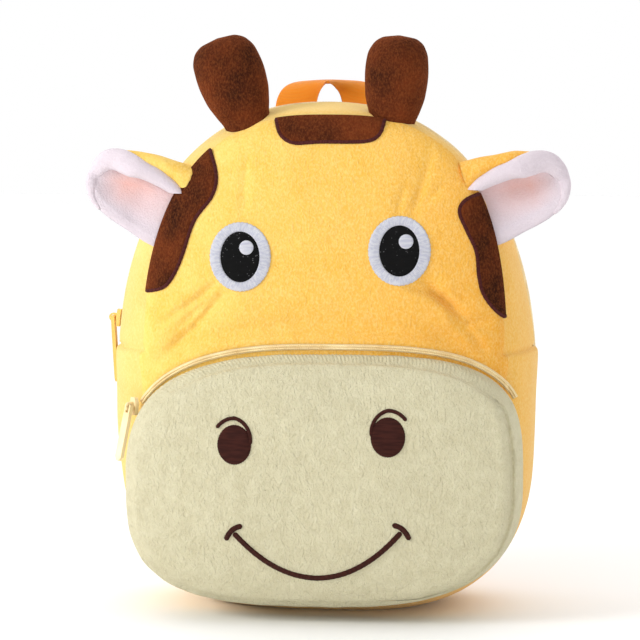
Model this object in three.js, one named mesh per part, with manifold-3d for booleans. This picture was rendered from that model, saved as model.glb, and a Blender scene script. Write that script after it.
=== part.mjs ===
// A toddler's plush backpack whose front is a giraffe's face.
//
// The bag is a pillow of padded plush: a crowned face panel, a back panel, and a side band (gusset) between
// them. The top of the band is split lengthways by the main zip. The muzzle is a front pocket with its own
// side band, closed by a second zip along its upper edge. Horns, ears, a grab handle and two shoulder straps
// are sewn into the seams, and the spots, eyes, nostrils and smile lie on the panels.
//
// Millimetres. X runs to the right as one faces the giraffe, Y from the face towards the wearer's back, and
// Z up. The origin is on the ground, under the middle of the bag.

import * as THREE from "three";
import { mergeVertices } from "three/addons/utils/BufferGeometryUtils.js";
import Module from "manifold-3d";

const wasm = await Module();
wasm.setup();

// Bag body
const bagWidth = 218;
const bagHeight = 260;
const bagDepth = 76;
const widestHeight = 112;
const topSquareness = 2.27;
const faceTopSquareness = 2.6;
const faceTopRightSquareness = 3;
const baseSquareness = 3.15;
const wall = 3;
const standFlat = 3;
const frontSeamInset = 15.5;
const backSeamInset = 8;
const topSeamInset = 5.5;
const baseSeamInset = 5;
const faceCentreX = 2;
const faceCrown = 17;
const backCrown = 5;
const sideSeamHeight = 135;

// Clearances: between sewn pieces, and between a sewn-on piece and the curved body it is seated on
const seamGap = 0.3;
const seatGap = 0.5;

// Muzzle pocket
const muzzleWidth = 196;
const muzzleCentreX = 3;
const muzzleHeight = 134.5;
const muzzleWidestHeight = 71;
const muzzleBaseHeight = 6;
const muzzleBaseRise = 3.2;
const muzzleTopSquareness = 2.6;
const muzzleTopRightSquareness = 3.4;
const muzzleBaseSquareness = 3.3;
const muzzleBaseRightSquareness = 2.65;
const muzzleDepth = 24;
const muzzleBulge = 2.5;
const muzzleCrown = 13;
const muzzleSeamInset = 0.5;
const muzzleTuck = 9;

// Zips, sliders and pulls
const zipWidth = 7;
const zipTape = 1.2;
const coilWidth = 2.6;
const coilHeight = 1.1;
const coilSlope = 0.4;
const pocketZipWidth = 3;
const pocketZipDepth = 0.6;
const pocketZipFrom = 33;
const pocketZipTo = 149;
const sliderLength = 9;
const sliderWidth = 6.4;
const sliderThickness = 2;
const bridgeThickness = 1.6;
const bridgeHole = 1.3;
const bridgeWall = 0.9;
const bridgeOverlap = 0.2;
const crossbarRadius = 0.8;
const pullArm = 1.5;
const pullClearance = 0.5;
const pocketSliderPast = 2;
const mainPullLength = 34;
const pocketPullLength = 28;
const pullWidth = 6;
const pullThickness = 1.8;
const mainPullLean = -10;
const pocketPullLean = 13;

// Horns and ears
const hornLength = 44.5;
const hornWidth = 35;
const hornThickness = 24;
const earLength = 44;
const earSpan = 46;
const earSheet = 2.6;
const earCurl = 9;
const earCup = 2.5;

// Sewn-on shapes
const patchThickness = 1.4;
const stitchThickness = 1;
const eyeWidth = 31;
const eyeHeight = 34.5;
const pupilWidth = 20.5;
const pupilHeight = 26;
const glintWidth = 7.4;
const nostrilWidth = 17;
const nostrilHeight = 19.6;
const stitchWidth = 2.7;
const smileWidth = 83;
const smileDrop = 22.5;

// Webbing handle and shoulder straps
const handleCentreX = -2.7;
const handleWidth = 20;
const handleSpan = 36;
const handleRise = 12;
const webbing = 1.6;
const strapWidth = 36;
const strapThickness = 6;
const strapStandOff = 42;
const strapWebbingWidth = 18;
const buckleWidth = 26;
const buckleHeight = 19;
const buckleThickness = 3;
const buckleBar = 3.2;
const anchorWidth = 26;

// Sizes that follow from those above
const frontY = -bagDepth / 2;
const backY = bagDepth / 2;
const muzzleFrontY = frontY - muzzleDepth;
const faceHalfWidth = bagWidth / 2 - frontSeamInset;

// Steps round the outlines, and the rings of a crowned panel from its rim to its middle
const bodySteps = 48;
const muzzleSteps = 40;
const FACE_RINGS = [1, 0.98, 0.94, 0.87, 0.78, 0.66, 0.52, 0.36, 0.18];
const MUZZLE_RINGS = [1, 0.98, 0.92, 0.82, 0.66, 0.42];
const BACK_RINGS = [1, 0.93, 0.6];
const LINING_RINGS = [1, 0.93, 0.76, 0.4];

// How far the side band has swollen from its front seam to its back seam
const GUSSET_SECTIONS = [
  { depth: 0, swell: 0 },
  { depth: 0.12, swell: 0.5 },
  { depth: 0.3, swell: 0.88 },
  { depth: 0.5, swell: 1 },
  { depth: 0.7, swell: 0.93 },
  { depth: 0.88, swell: 0.62 },
  { depth: 1, swell: 0 },
];

// Creases in the plush face, as shares of the face's half width, the bag's height and the two sizes here
const creaseWidth = 9;
const creaseDepth = 2.4;
const FACE_CREASES = [
  { x0: -0.86, z0: 0.5, x1: -0.5, z1: 0.62, width: 1, depth: 1 },
  { x0: -0.8, z0: 0.55, x1: -0.62, z1: 0.62, width: 0.8, depth: 0.6 },
  { x0: 0.62, z0: 0.64, x1: 0.86, z1: 0.57, width: 1, depth: 0.9 },
  { x0: 0.58, z0: 0.58, x1: 0.88, z1: 0.49, width: 0.9, depth: 0.8 },
  { x0: 0.6, z0: 0.91, x1: 0.5, z1: 0.79, width: 1.3, depth: 0.7 },
  { x0: -0.45, z0: 0.585, x1: 0.45, z1: 0.585, width: 1.6, depth: 0.7 },
];

// Spots: their outlines run through these places, as shares of the face's half width and the bag's height
const FOREHEAD_SPOT = [
  { x: -0.245, z: 1.05 },
  { x: -0.232, z: 0.965 },
  { x: -0.2, z: 0.935 },
  { x: -0.125, z: 0.92 },
  { x: 0.01, z: 0.922 },
  { x: 0.25, z: 0.923 },
  { x: 0.33, z: 0.936 },
  { x: 0.36, z: 0.965 },
  { x: 0.385, z: 1.05 },
];
const LEFT_SPOT = [
  { x: -0.66, z: 1 },
  { x: -0.59, z: 0.918 },
  { x: -0.54, z: 0.862 },
  { x: -0.56, z: 0.82 },
  { x: -0.66, z: 0.77 },
  { x: -0.73, z: 0.698 },
  { x: -0.79, z: 0.656 },
  { x: -0.86, z: 0.637 },
  { x: -1.2, z: 0.628 },
  { x: -1.2, z: 1 },
];
const RIGHT_SPOT = [
  { x: 1.2, z: 0.84 },
  { x: 0.87, z: 0.828 },
  { x: 0.78, z: 0.813 },
  { x: 0.753, z: 0.79 },
  { x: 0.79, z: 0.757 },
  { x: 0.843, z: 0.715 },
  { x: 0.858, z: 0.668 },
  { x: 0.885, z: 0.632 },
  { x: 0.96, z: 0.597 },
  { x: 1.2, z: 0.57 },
];

// Eyes and nostrils, as shares of the face's half width and the bag's height
const EYES = [
  { side: "left", x: -0.408, z: 0.704 },
  { side: "right", x: 0.443, z: 0.717 },
];
const NOSTRILS = [
  { side: "left", x: -0.412, z: 0.352, turn: 1 },
  { side: "right", x: 0.4, z: 0.37, turn: -1 },
];
const smileCentre = { x: 0.028, z: 0.097 };

// Horns: where each stands on the front seam, and how far it leans from upright, in degrees
const HORNS = [
  { side: "left", x: -0.395, z: 0.962, lean: -20, scale: 1 },
  { side: "right", x: 0.392, z: 0.957, lean: 4, scale: 0.92 },
];
const HORN_SECTIONS = [
  { along: -0.3, width: 0.6, thickness: 0.6 },
  { along: 0.02, width: 0.69, thickness: 0.7 },
  { along: 0.15, width: 0.81, thickness: 0.86 },
  { along: 0.34, width: 0.95, thickness: 0.98 },
  { along: 0.56, width: 1, thickness: 1 },
  { along: 0.76, width: 0.96, thickness: 0.94 },
  { along: 0.89, width: 0.82, thickness: 0.77 },
  { along: 0.97, width: 0.55, thickness: 0.5 },
];

// Ears: the middle of the sewn edge, and how far the ear is turned up from level, in degrees
const EARS = [
  { side: "left", sign: -1, x: -0.804, z: 0.797, lean: 23 },
  { side: "right", sign: 1, x: 0.87, z: 0.804, lean: 18 },
];
// An ear along its length: its lower and upper edges; how far round its top has curled forwards, in degrees,
// with the radius of that curl; and the flap that hangs on beyond the curl
const EAR_SECTIONS = [
  { along: -0.22, low: -0.5, high: 0.47, curl: 180, radius: 0.34, flap: 0.28 },
  { along: 0.1, low: -0.475, high: 0.44, curl: 180, radius: 0.36, flap: 0.08 },
  { along: 0.36, low: -0.43, high: 0.41, curl: 165, radius: 0.4, flap: 0.02 },
  { along: 0.62, low: -0.385, high: 0.36, curl: 110, radius: 0.46, flap: 0.02 },
  { along: 0.82, low: -0.31, high: 0.3, curl: 75, radius: 0.5, flap: 0.02 },
  { along: 0.94, low: -0.21, high: 0.21, curl: 60, radius: 0.46, flap: 0.02 },
  { along: 1, low: -0.09, high: 0.08, curl: 45, radius: 0.34, flap: 0.02 },
];
// The shares of the way across an ear at which its curl begins and ends
const curlFrom = 0.4;
const curlTo = 0.8;
const earSteps = 10;

// One shoulder strap from its seam under the handle to its end at the bag's lower corner: how far out to the
// side it lies, how far it stands off the back, and its height, as shares of half the width, the stand-off
// and the bag's height
const STRAP_PAD = [
  { side: 0.26, out: -0.06, height: 0.925 },
  { side: 0.28, out: 0.36, height: 0.945 },
  { side: 0.31, out: 0.72, height: 0.91 },
  { side: 0.35, out: 0.94, height: 0.82 },
  { side: 0.39, out: 1, height: 0.7 },
  { side: 0.43, out: 0.96, height: 0.56 },
  { side: 0.47, out: 0.86, height: 0.43 },
];
const STRAP_WEBBING = [
  { side: 0.53, out: 0.62, height: 0.28 },
  { side: 0.56, out: 0.43, height: 0.205 },
  { side: 0.59, out: 0.24, height: 0.15 },
];
const strapSeam = { side: 0.63, out: -0.08, height: 0.08 };

const COLOURS = {
  yellow: { color: 0xfad775, roughness: 0.9 },
  cream: { color: 0xd6ceaa, roughness: 0.92 },
  brown: { color: 0x5e2c14, roughness: 0.9 },
  lining: { color: 0xeadbe2, roughness: 0.9 },
  black: { color: 0x1b1b1d, roughness: 0.6 },
  white: { color: 0xe4e4f0, roughness: 0.6 },
  thread: { color: 0x532b24, roughness: 0.6 },
  webbing: { color: 0xfe8f1e, roughness: 0.7 },
  zip: { color: 0xe8d3a0, roughness: 0.5 },
  plastic: { color: 0xf6e0a8, roughness: 0.4 },
};

const radians = THREE.MathUtils.degToRad;

// A closed outline seen from the front. Its corners have a squareness each, over 2 where they are fuller than
// an ellipse's.
class Outline {
  constructor({ halfWidth, up, down, centreX = 0, centreZ, top, base, topRight = top, baseRight = base }) {
    Object.assign(this, { halfWidth, up, down, centreX, centreZ, top, base, topRight, baseRight });
  }

  grown(by) {
    return new Outline({
      ...this,
      halfWidth: this.halfWidth + by,
      up: this.up + by,
      down: this.down + by,
    });
  }

  // The place at an angle round the outline, a share of the way out from its centre
  place(angle, share = 1) {
    const upper = Math.sin(angle) >= 0;
    const right = Math.cos(angle) >= 0;
    const [leftPower, rightPower] = upper ? [this.top, this.topRight] : [this.base, this.baseRight];
    const power = right ? rightPower : leftPower;
    const length = (Math.abs(Math.cos(angle)) ** power + Math.abs(Math.sin(angle)) ** power) ** (1 / power);
    const x = this.centreX + (share * this.halfWidth * Math.cos(angle)) / length;
    const z = this.centreZ + (share * (upper ? this.up : this.down) * Math.sin(angle)) / length;
    return [x, z];
  }
}

// A value read between the rows of a table
function between(rows, key, column, at) {
  const next = rows.findIndex((row) => row[key] >= at);
  if (next === 0) return rows[0][column];
  if (next < 0) return rows[rows.length - 1][column];
  const [a, b] = [rows[next - 1], rows[next]];
  return THREE.MathUtils.mapLinear(at, a[key], b[key], a[column], b[column]);
}

// How far a crowned panel has risen, as a share of its crown, at a share of the way out to its rim
const crownShare = (share) => (1 - Math.min(share, 1) ** 2.6) ** 0.62;

// The bag stands on flattened plush, so nothing reaches below the ground plus its own wall
const grounded = (z, grow) => Math.max(z, -grow);

function bagOutline(sideInset, topInset, baseInset, shape) {
  return new Outline({
    halfWidth: bagWidth / 2 - sideInset,
    up: bagHeight - widestHeight - topInset,
    down: widestHeight - baseInset,
    centreZ: widestHeight,
    top: topSquareness,
    base: baseSquareness,
    ...shape,
  });
}

const faceShape = { centreX: faceCentreX, top: faceTopSquareness, topRight: faceTopRightSquareness };
const frontSeam = bagOutline(frontSeamInset, topSeamInset, baseSeamInset, faceShape);
const fullest = bagOutline(0, 0, -standFlat);
const backSeam = bagOutline(backSeamInset, topSeamInset, baseSeamInset);

function creaseAt(x, z) {
  let depth = 0;
  for (const crease of FACE_CREASES) {
    const [x0, z0] = [crease.x0 * faceHalfWidth, crease.z0 * bagHeight];
    const [dx, dz] = [crease.x1 * faceHalfWidth - x0, crease.z1 * bagHeight - z0];
    const along = ((x - x0) * dx + (z - z0) * dz) / (dx * dx + dz * dz);
    const nearest = THREE.MathUtils.clamp(along, 0, 1);
    const away = Math.hypot(x - x0 - nearest * dx, z - z0 - nearest * dz);
    depth += crease.depth * creaseDepth * Math.exp(-((away / (crease.width * creaseWidth)) ** 2) * 2);
  }
  return depth;
}

function facePoint(angle, share, grow) {
  const [x, z] = frontSeam.grown(grow).place(angle, share);
  const crease = creaseAt(x, z) * (1 - share ** 6);
  return [x, frontY - (faceCrown + grow) * crownShare(share) + crease, grounded(z, grow)];
}

// The depth of the bare face, without its creases, over a place on the front
function faceDepthAt(x, z) {
  const reach = z >= frontSeam.centreZ ? frontSeam.up : frontSeam.down;
  const angle = Math.atan2((z - frontSeam.centreZ) / reach, (x - frontSeam.centreX) / frontSeam.halfWidth);
  const [rimX, rimZ] = frontSeam.place(angle);
  const rim = Math.hypot(rimX - frontSeam.centreX, rimZ - frontSeam.centreZ);
  return frontY - faceCrown * crownShare(Math.hypot(x - frontSeam.centreX, z - frontSeam.centreZ) / rim);
}

function gussetPoint(angle, y, grow) {
  const depth = (y - frontY) / bagDepth;
  const swell = between(GUSSET_SECTIONS, "depth", "swell", depth);
  const seam = (depth < 0.5 ? frontSeam : backSeam).grown(grow).place(angle);
  const full = fullest.grown(grow).place(angle);
  const [x, z] = seam.map((value, i) => THREE.MathUtils.lerp(value, full[i], swell));
  return [x, y, grounded(z, grow)];
}

function backPoint(angle, share, grow) {
  const [x, z] = backSeam.grown(grow).place(angle, share);
  const flatFrom = BACK_RINGS[BACK_RINGS.length - 1];
  const rise = crownShare(Math.max(share - flatFrom, 0) / (1 - flatFrom));
  return [x, backY + (backCrown + grow) * rise, grounded(z, grow)];
}

// The muzzle's outline from where it is tucked against the bag (0) to its front seam (1)
function muzzleOutline(depth) {
  const swell = Math.sin(Math.PI * depth) * muzzleBulge - depth * muzzleSeamInset;
  return new Outline({
    halfWidth: muzzleWidth / 2 + swell,
    up: muzzleHeight - muzzleWidestHeight + swell,
    down: muzzleWidestHeight - muzzleBaseHeight - depth * muzzleBaseRise,
    centreX: muzzleCentreX,
    centreZ: muzzleWidestHeight,
    top: muzzleTopSquareness,
    topRight: muzzleTopRightSquareness,
    base: muzzleBaseSquareness,
    baseRight: muzzleBaseRightSquareness,
  });
}

function muzzleSidePoint(angle, y, grow) {
  const rearY = frontY + muzzleTuck;
  const [x, z] = muzzleOutline((rearY - y) / (rearY - muzzleFrontY)).grown(grow).place(angle);
  return [x, y, grounded(z, grow)];
}

function muzzlePoint(angle, share, grow) {
  const [x, z] = muzzleOutline(1).grown(grow).place(angle, share);
  return [x, muzzleFrontY - (muzzleCrown + grow) * crownShare(share), grounded(z, grow)];
}

const angleSteps = (from, to, steps) => Array.from({ length: steps }, (_, i) => from + ((to - from) * i) / steps);
const loop = (steps, point) => angleSteps(0, 2 * Math.PI, steps).map(point);
const spread = (from, to, parts) => Array.from({ length: parts + 1 }, (_, i) => from + ((to - from) * i) / parts);

// A geometry from points and faces, turned so that its faces point out
function closedGeometry(points, faces) {
  const p = points.map((point) => new THREE.Vector3(...point));
  const volume = faces.reduce((sum, [a, b, c]) => sum + p[a].dot(p[b].clone().cross(p[c])), 0);
  const index = volume < 0 ? faces.flatMap(([a, b, c]) => [a, c, b]) : faces.flat();
  const geometry = new THREE.BufferGeometry();
  geometry.setAttribute("position", new THREE.Float32BufferAttribute(points.flat(), 3));
  geometry.setIndex(index);
  return geometry;
}

// A body through a row of closed rings, each end closed to a point
function ringBody(rings, firstPole, lastPole) {
  const count = rings[0].length;
  const points = [...rings.flat(), firstPole, lastPole];
  const faces = [];
  rings.slice(1).forEach((_, r) => {
    for (let i = 0; i < count; i++) {
      const [a, b] = [r * count + i, r * count + ((i + 1) % count)];
      faces.push([a, b, b + count], [a, b + count, a + count]);
    }
  });
  const last = (rings.length - 1) * count;
  for (let i = 0; i < count; i++) {
    const next = (i + 1) % count;
    faces.push([points.length - 2, next, i], [points.length - 1, last + i, last + next]);
  }
  return closedGeometry(points, faces);
}

// A wall between two grids of points, which may close on itself the long way round
function wallBody(outer, inner, closesRound = false) {
  const [rows, columns] = [outer.length, outer[0].length];
  const points = [...outer.flat(), ...inner.flat()];
  const at = (side, row, column) => side * rows * columns + (row % rows) * columns + column;
  const faces = [];
  const quad = (a, b, c, d) => faces.push([a, b, c], [a, c, d]);
  for (let r = 0; r < (closesRound ? rows : rows - 1); r++) {
    for (let c = 0; c < columns - 1; c++) {
      quad(at(0, r, c), at(0, r, c + 1), at(0, r + 1, c + 1), at(0, r + 1, c));
      quad(at(1, r, c), at(1, r + 1, c), at(1, r + 1, c + 1), at(1, r, c + 1));
    }
    quad(at(0, r, 0), at(0, r + 1, 0), at(1, r + 1, 0), at(1, r, 0));
    const c = columns - 1;
    quad(at(0, r, c), at(1, r, c), at(1, r + 1, c), at(0, r + 1, c));
  }
  if (!closesRound) {
    for (let c = 0; c < columns - 1; c++) {
      const r = rows - 1;
      quad(at(0, 0, c), at(1, 0, c), at(1, 0, c + 1), at(0, 0, c + 1));
      quad(at(0, r, c), at(0, r, c + 1), at(1, r, c + 1), at(1, r, c));
    }
  }
  return closedGeometry(points, faces);
}

function solidOf(geometry) {
  const bare = geometry.clone();
  bare.deleteAttribute("normal");
  bare.deleteAttribute("uv");
  const merged = mergeVertices(bare, 1e-4);
  const mesh = new wasm.Mesh({
    numProp: 3,
    vertProperties: merged.attributes.position.array,
    triVerts: new Uint32Array(merged.index.array),
  });
  return new wasm.Manifold(mesh);
}

// The largest body of a solid, as a geometry
function geometryOf(solid) {
  const bodies = solid.decompose().sort((a, b) => b.volume() - a.volume());
  const mesh = bodies[0].getMesh();
  const geometry = new THREE.BufferGeometry();
  geometry.setAttribute("position", new THREE.BufferAttribute(Float32Array.from(mesh.vertProperties), 3));
  geometry.setIndex(new THREE.BufferAttribute(Uint32Array.from(mesh.triVerts), 1));
  return geometry;
}

// The whole bag without its pocket as one filled body, grown evenly by a clearance or a thickness
function bagSolid(grow) {
  const rings = [
    ...[...FACE_RINGS].reverse().map((share) => loop(bodySteps, (angle) => facePoint(angle, share, grow))),
    ...GUSSET_SECTIONS.slice(1, -1).map((row) =>
      loop(bodySteps, (angle) => gussetPoint(angle, frontY + row.depth * bagDepth, grow)),
    ),
    ...BACK_RINGS.map((share) => loop(bodySteps, (angle) => backPoint(angle, share, grow))),
  ];
  return solidOf(ringBody(rings, facePoint(0, 0, grow), backPoint(0, 0, grow)));
}

const muzzleStations = spread(frontY + muzzleTuck, muzzleFrontY + seamGap, 4);

function muzzleSolid(grow) {
  const rings = [
    ...[...MUZZLE_RINGS].reverse().map((share) => loop(muzzleSteps, (angle) => muzzlePoint(angle, share, grow))),
    ...[...muzzleStations].reverse().map((y) => loop(muzzleSteps, (angle) => muzzleSidePoint(angle, y, grow))),
  ];
  const rear = [muzzleCentreX, muzzleStations[0], muzzleWidestHeight];
  return solidOf(ringBody(rings, muzzlePoint(0, 0, grow), rear));
}

const bagBody = bagSolid(0);
const bagSeat = bagSolid(seatGap);
const pocketSeat = muzzleSolid(seatGap);

// A crowned panel: its outer side, then its inner side one wall further in
function panel(rings, liningRings, steps, pointAt) {
  const outside = [...rings].reverse().map((share) => loop(steps, (angle) => pointAt(angle, share, 0)));
  const inside = liningRings.map((share) => loop(steps, (angle) => pointAt(angle, share, -wall)));
  return ringBody([...outside, ...inside], pointAt(0, 0, 0), pointAt(0, 0, -wall));
}

// A stretch of the bag's side band between two angles and two depths
function gussetPiece(fromAngle, toAngle, fromY, toY, steps, parts) {
  const angles = spread(fromAngle, toAngle, steps);
  const depths = spread(fromY, toY, parts);
  const side = (grow) => angles.map((angle) => depths.map((y) => gussetPoint(angle, y, grow)));
  return wallBody(side(0), side(-wall));
}

function muzzleBand() {
  const angles = angleSteps(0, 2 * Math.PI, muzzleSteps);
  const side = (grow) => angles.map((angle) => muzzleStations.map((y) => muzzleSidePoint(angle, y, grow)));
  return geometryOf(solidOf(wallBody(side(0), side(-wall), true)).subtract(bagSeat));
}

// The angle at which the bag's outline passes a height
function angleAtHeight(height) {
  const rise = (height - widestHeight) / (bagHeight - widestHeight);
  const across = (1 - rise ** topSquareness) ** (1 / topSquareness);
  return Math.atan2(rise, across);
}

const sideSeamAngle = angleAtHeight(sideSeamHeight);
const seamAngleGap = seamGap / bagWidth;

// The main zip: woven tape with a raised coil along its middle, let in between the two upper bands
function mainZip() {
  const half = zipWidth / 2;
  const coil = coilWidth / 2;
  const PROFILE = [
    { y: -half, height: 0 },
    { y: -coil - coilSlope, height: 0 },
    { y: -coil, height: coilHeight },
    { y: coil, height: coilHeight },
    { y: coil + coilSlope, height: 0 },
    { y: half, height: 0 },
  ];
  const angles = spread(sideSeamAngle + seamAngleGap, Math.PI - sideSeamAngle - seamAngleGap, 22);
  const outer = angles.map((angle) => PROFILE.map((row) => gussetPoint(angle, row.y, row.height - zipTape / 2)));
  const inner = angles.map((angle) => PROFILE.map((row) => gussetPoint(angle, row.y, -zipTape * 1.5)));
  return wallBody(outer, inner);
}

const flatPlace = ({ x, z }) => new THREE.Vector2(x * faceHalfWidth, z * bagHeight);

function smoothShape(rows, divisions) {
  const curve = new THREE.SplineCurve(rows.map(flatPlace));
  return new THREE.Shape(curve.getPoints(divisions));
}

function ovalPoints(x, z, width, height, steps) {
  return loop(steps, (angle) => new THREE.Vector2(x + (width / 2) * Math.cos(angle), z + (height / 2) * Math.sin(angle)));
}

// A stroke of stitching of one width, with round ends, along a curve
function strokeShape(curve, width, divisions) {
  const centre = curve.getPoints(divisions);
  const tangents = centre.map((_, i) => curve.getTangent(i / divisions));
  const beside = (side) =>
    centre.map((p, i) => new THREE.Vector2(p.x - side * tangents[i].y, p.y + side * tangents[i].x));
  const cap = (p, tangent, turn) =>
    [1 / 4, 1 / 2, 3 / 4].map((share) => {
      const angle = Math.atan2(tangent.y, tangent.x) + turn - share * Math.PI;
      return new THREE.Vector2(p.x + (width / 2) * Math.cos(angle), p.y + (width / 2) * Math.sin(angle));
    });
  const left = beside(width / 2);
  const right = beside(-width / 2).reverse();
  const endCap = cap(centre[divisions], tangents[divisions], Math.PI / 2);
  const startCap = cap(centre[0], tangents[0], -Math.PI / 2);
  return new THREE.Shape([...left, ...endCap, ...right, ...startCap]);
}

// A prism that stands forwards from the front seam over a shape drawn on the face
function prism(shape) {
  const reach = bagDepth + muzzleDepth + muzzleCrown;
  const geometry = new THREE.ExtrudeGeometry(shape, { depth: reach, bevelEnabled: false, steps: 1 });
  geometry.rotateX(Math.PI / 2);
  geometry.translate(0, frontY, 0);
  return solidOf(geometry);
}

// A layer of one thickness over a panel, cut to a shape
function layer(shapes, solidAt, thickness) {
  const stamp = shapes.map(prism).reduce((all, one) => all.add(one));
  return stamp.intersect(solidAt(seamGap + thickness)).subtract(solidAt(seamGap));
}

// The pocket's zip: a band of tape round the muzzle's upper edge, lying on the face
function pocketZip() {
  const base = muzzleOutline(pocketZipDepth);
  const angles = spread(radians(pocketZipFrom), radians(pocketZipTo), 21);
  const edge = (grow) => angles.map((angle) => new THREE.Vector2(...base.grown(grow).place(angle)));
  const shape = new THREE.Shape([...edge(seatGap + pocketZipWidth), ...edge(0).reverse()]);
  return geometryOf(layer([shape], bagSolid, zipTape).subtract(pocketSeat));
}

function eyeLayers(eye) {
  const { x, y: z } = flatPlace(eye);
  const glint = { x: x + pupilWidth * 0.16, z: z + pupilHeight * 0.18 };
  const white = new THREE.Shape(ovalPoints(x, z, eyeWidth, eyeHeight, 24));
  white.holes.push(new THREE.Path(ovalPoints(x, z, pupilWidth + 2 * seamGap, pupilHeight + 2 * seamGap, 20)));
  const pupil = new THREE.Shape(ovalPoints(x, z, pupilWidth, pupilHeight, 20));
  const socket = glintWidth + 2 * seamGap;
  pupil.holes.push(new THREE.Path(ovalPoints(glint.x, glint.z, socket, socket, 12)));
  const spark = new THREE.Shape(ovalPoints(glint.x, glint.z, glintWidth, glintWidth, 12));
  return { white, pupil, spark };
}

// A nostril: a filled oval with a brow that springs from its inner side and curls over its top
function nostrilShapes(nostril) {
  const { x, y: z } = flatPlace(nostril);
  const brow = loop(16, (angle) => angle)
    .filter((angle) => angle >= radians(10) && angle <= radians(140))
    .map((angle) => {
      const out = THREE.MathUtils.mapLinear(Math.min(angle, Math.PI / 2), radians(10), Math.PI / 2, 0.9, 1.32);
      const across = nostril.turn * (nostrilWidth / 2) * out * Math.cos(angle);
      return new THREE.Vector2(x + across, z + (nostrilHeight / 2) * out * Math.sin(angle));
    });
  const curve = new THREE.SplineCurve(brow);
  return [new THREE.Shape(ovalPoints(x, z, nostrilWidth, nostrilHeight, 20)), strokeShape(curve, stitchWidth * 0.7, 8)];
}

// The smile: a shallow curve with a short tick across each end
function smileShapes() {
  const { x, y: z } = flatPlace(smileCentre);
  const half = smileWidth / 2;
  const curve = new THREE.SplineCurve(
    spread(-1, 1, 6).map((share) => new THREE.Vector2(x + half * share, z + smileDrop * Math.abs(share) ** 2.1)),
  );
  const ticks = [-1, 1].map((side) => {
    const end = new THREE.Vector2(x + side * half, z + smileDrop);
    const tick = new THREE.QuadraticBezierCurve(
      new THREE.Vector2(end.x - side * 4.5, end.y + 3.5),
      new THREE.Vector2(end.x + side * 1.5, end.y + 3),
      new THREE.Vector2(end.x + side * 4, end.y - 4),
    );
    return strokeShape(tick, stitchWidth, 4);
  });
  return [strokeShape(curve, stitchWidth, 18), ...ticks];
}

// A stuffed horn, before its foot is cut to the bag
function hornSolid({ x, z, lean, scale }, grow) {
  const foot = new THREE.Vector3(x * faceHalfWidth, frontY + hornThickness * 0.3, z * bagHeight);
  const up = new THREE.Vector3(Math.sin(radians(lean)), 0, Math.cos(radians(lean)));
  const across = new THREE.Vector3(up.z, 0, -up.x);
  const ringAt = ({ along, width, thickness }) =>
    loop(14, (angle) => {
      const p = foot.clone().addScaledVector(up, along * hornLength);
      p.addScaledVector(across, Math.cos(angle) * ((hornWidth / 2) * width * scale + grow));
      p.y += Math.sin(angle) * ((hornThickness / 2) * thickness + grow);
      return p.toArray();
    });
  const poleAt = (along) => foot.clone().addScaledVector(up, along * hornLength).toArray();
  const rings = HORN_SECTIONS.map(ringAt);
  return solidOf(ringBody(rings, poleAt(HORN_SECTIONS[0].along), poleAt(1)));
}

// A place on an ear's middle sheet. Across runs from the lower edge (0) to the upper edge (1), which curls
// forwards and down over the ear.
function earPoint(ear, across, along) {
  const at = (column) => between(EAR_SECTIONS, "along", column, along);
  const [low, high, flap] = [at("low") * earSpan, at("high") * earSpan, at("flap") * earSpan];
  const curl = radians(at("curl"));
  const radius = at("radius") * earCurl;
  const crest = radius * Math.sin(Math.min(curl, Math.PI / 2)) + flap * Math.max(Math.cos(curl), 0);
  const flat = (high - low - crest) * Math.min(across / curlFrom, 1);
  const turned = curl * THREE.MathUtils.clamp((across - curlFrom) / (curlTo - curlFrom), 0, 1);
  const hanging = (flap * Math.max(across - curlTo, 0)) / (1 - curlTo);
  const height = low + flat + radius * Math.sin(turned) + hanging * Math.cos(curl);
  const forward = radius * (1 - Math.cos(turned)) + hanging * Math.sin(curl) + earCup * (1 - across) ** 3;
  const lean = radians(ear.lean);
  const out = along * earLength;
  const x = ear.x * faceHalfWidth + ear.sign * (out * Math.cos(lean) - height * Math.sin(lean));
  const z = ear.z * bagHeight + out * Math.sin(lean) + height * Math.cos(lean);
  return new THREE.Vector3(x, frontY + earCurl * 0.4 - forward, z);
}

// One layer of an ear, between two distances behind the middle sheet, before its foot is cut to the bag
function earLayer(ear, near, far, past = 0) {
  const step = 0.01;
  const offset = (across, along, behind) => {
    const p = earPoint(ear, across, along);
    const dAcross = earPoint(ear, across + step, along).sub(earPoint(ear, across - step, along));
    const dAlong = earPoint(ear, across, along + step).sub(earPoint(ear, across, along - step));
    const normal = dAcross.cross(dAlong).normalize().multiplyScalar(-ear.sign);
    return p.addScaledVector(normal, behind).toArray();
  };
  const grid = (behind) =>
    spread(-past, 1 + past, earSteps).map((across) =>
      EAR_SECTIONS.map((row) => offset(across, Math.min(row.along, 0.99), behind)),
    );
  return solidOf(wallBody(grid(far), grid(near)));
}

// A flat strip along a curve, its width turned as asked at each step
function ribbon(curve, steps, widthAt, thickness, acrossAt) {
  const rings = spread(0, 1, steps).map((share) => {
    const p = curve.getPoint(share);
    const tangent = curve.getTangent(share);
    const across = acrossAt(share).addScaledVector(tangent, -acrossAt(share).dot(tangent)).normalize();
    const normal = tangent.clone().cross(across);
    const half = widthAt(share) / 2;
    const shoulder = half - thickness * 0.35;
    return [
      [half, 0],
      [shoulder, thickness / 2],
      [-shoulder, thickness / 2],
      [-half, 0],
      [-shoulder, -thickness / 2],
      [shoulder, -thickness / 2],
    ].map(([a, n]) => p.clone().addScaledVector(across, a).addScaledVector(normal, n).toArray());
  });
  return ringBody(rings, curve.getPoint(0).toArray(), curve.getPoint(1).toArray());
}

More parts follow.
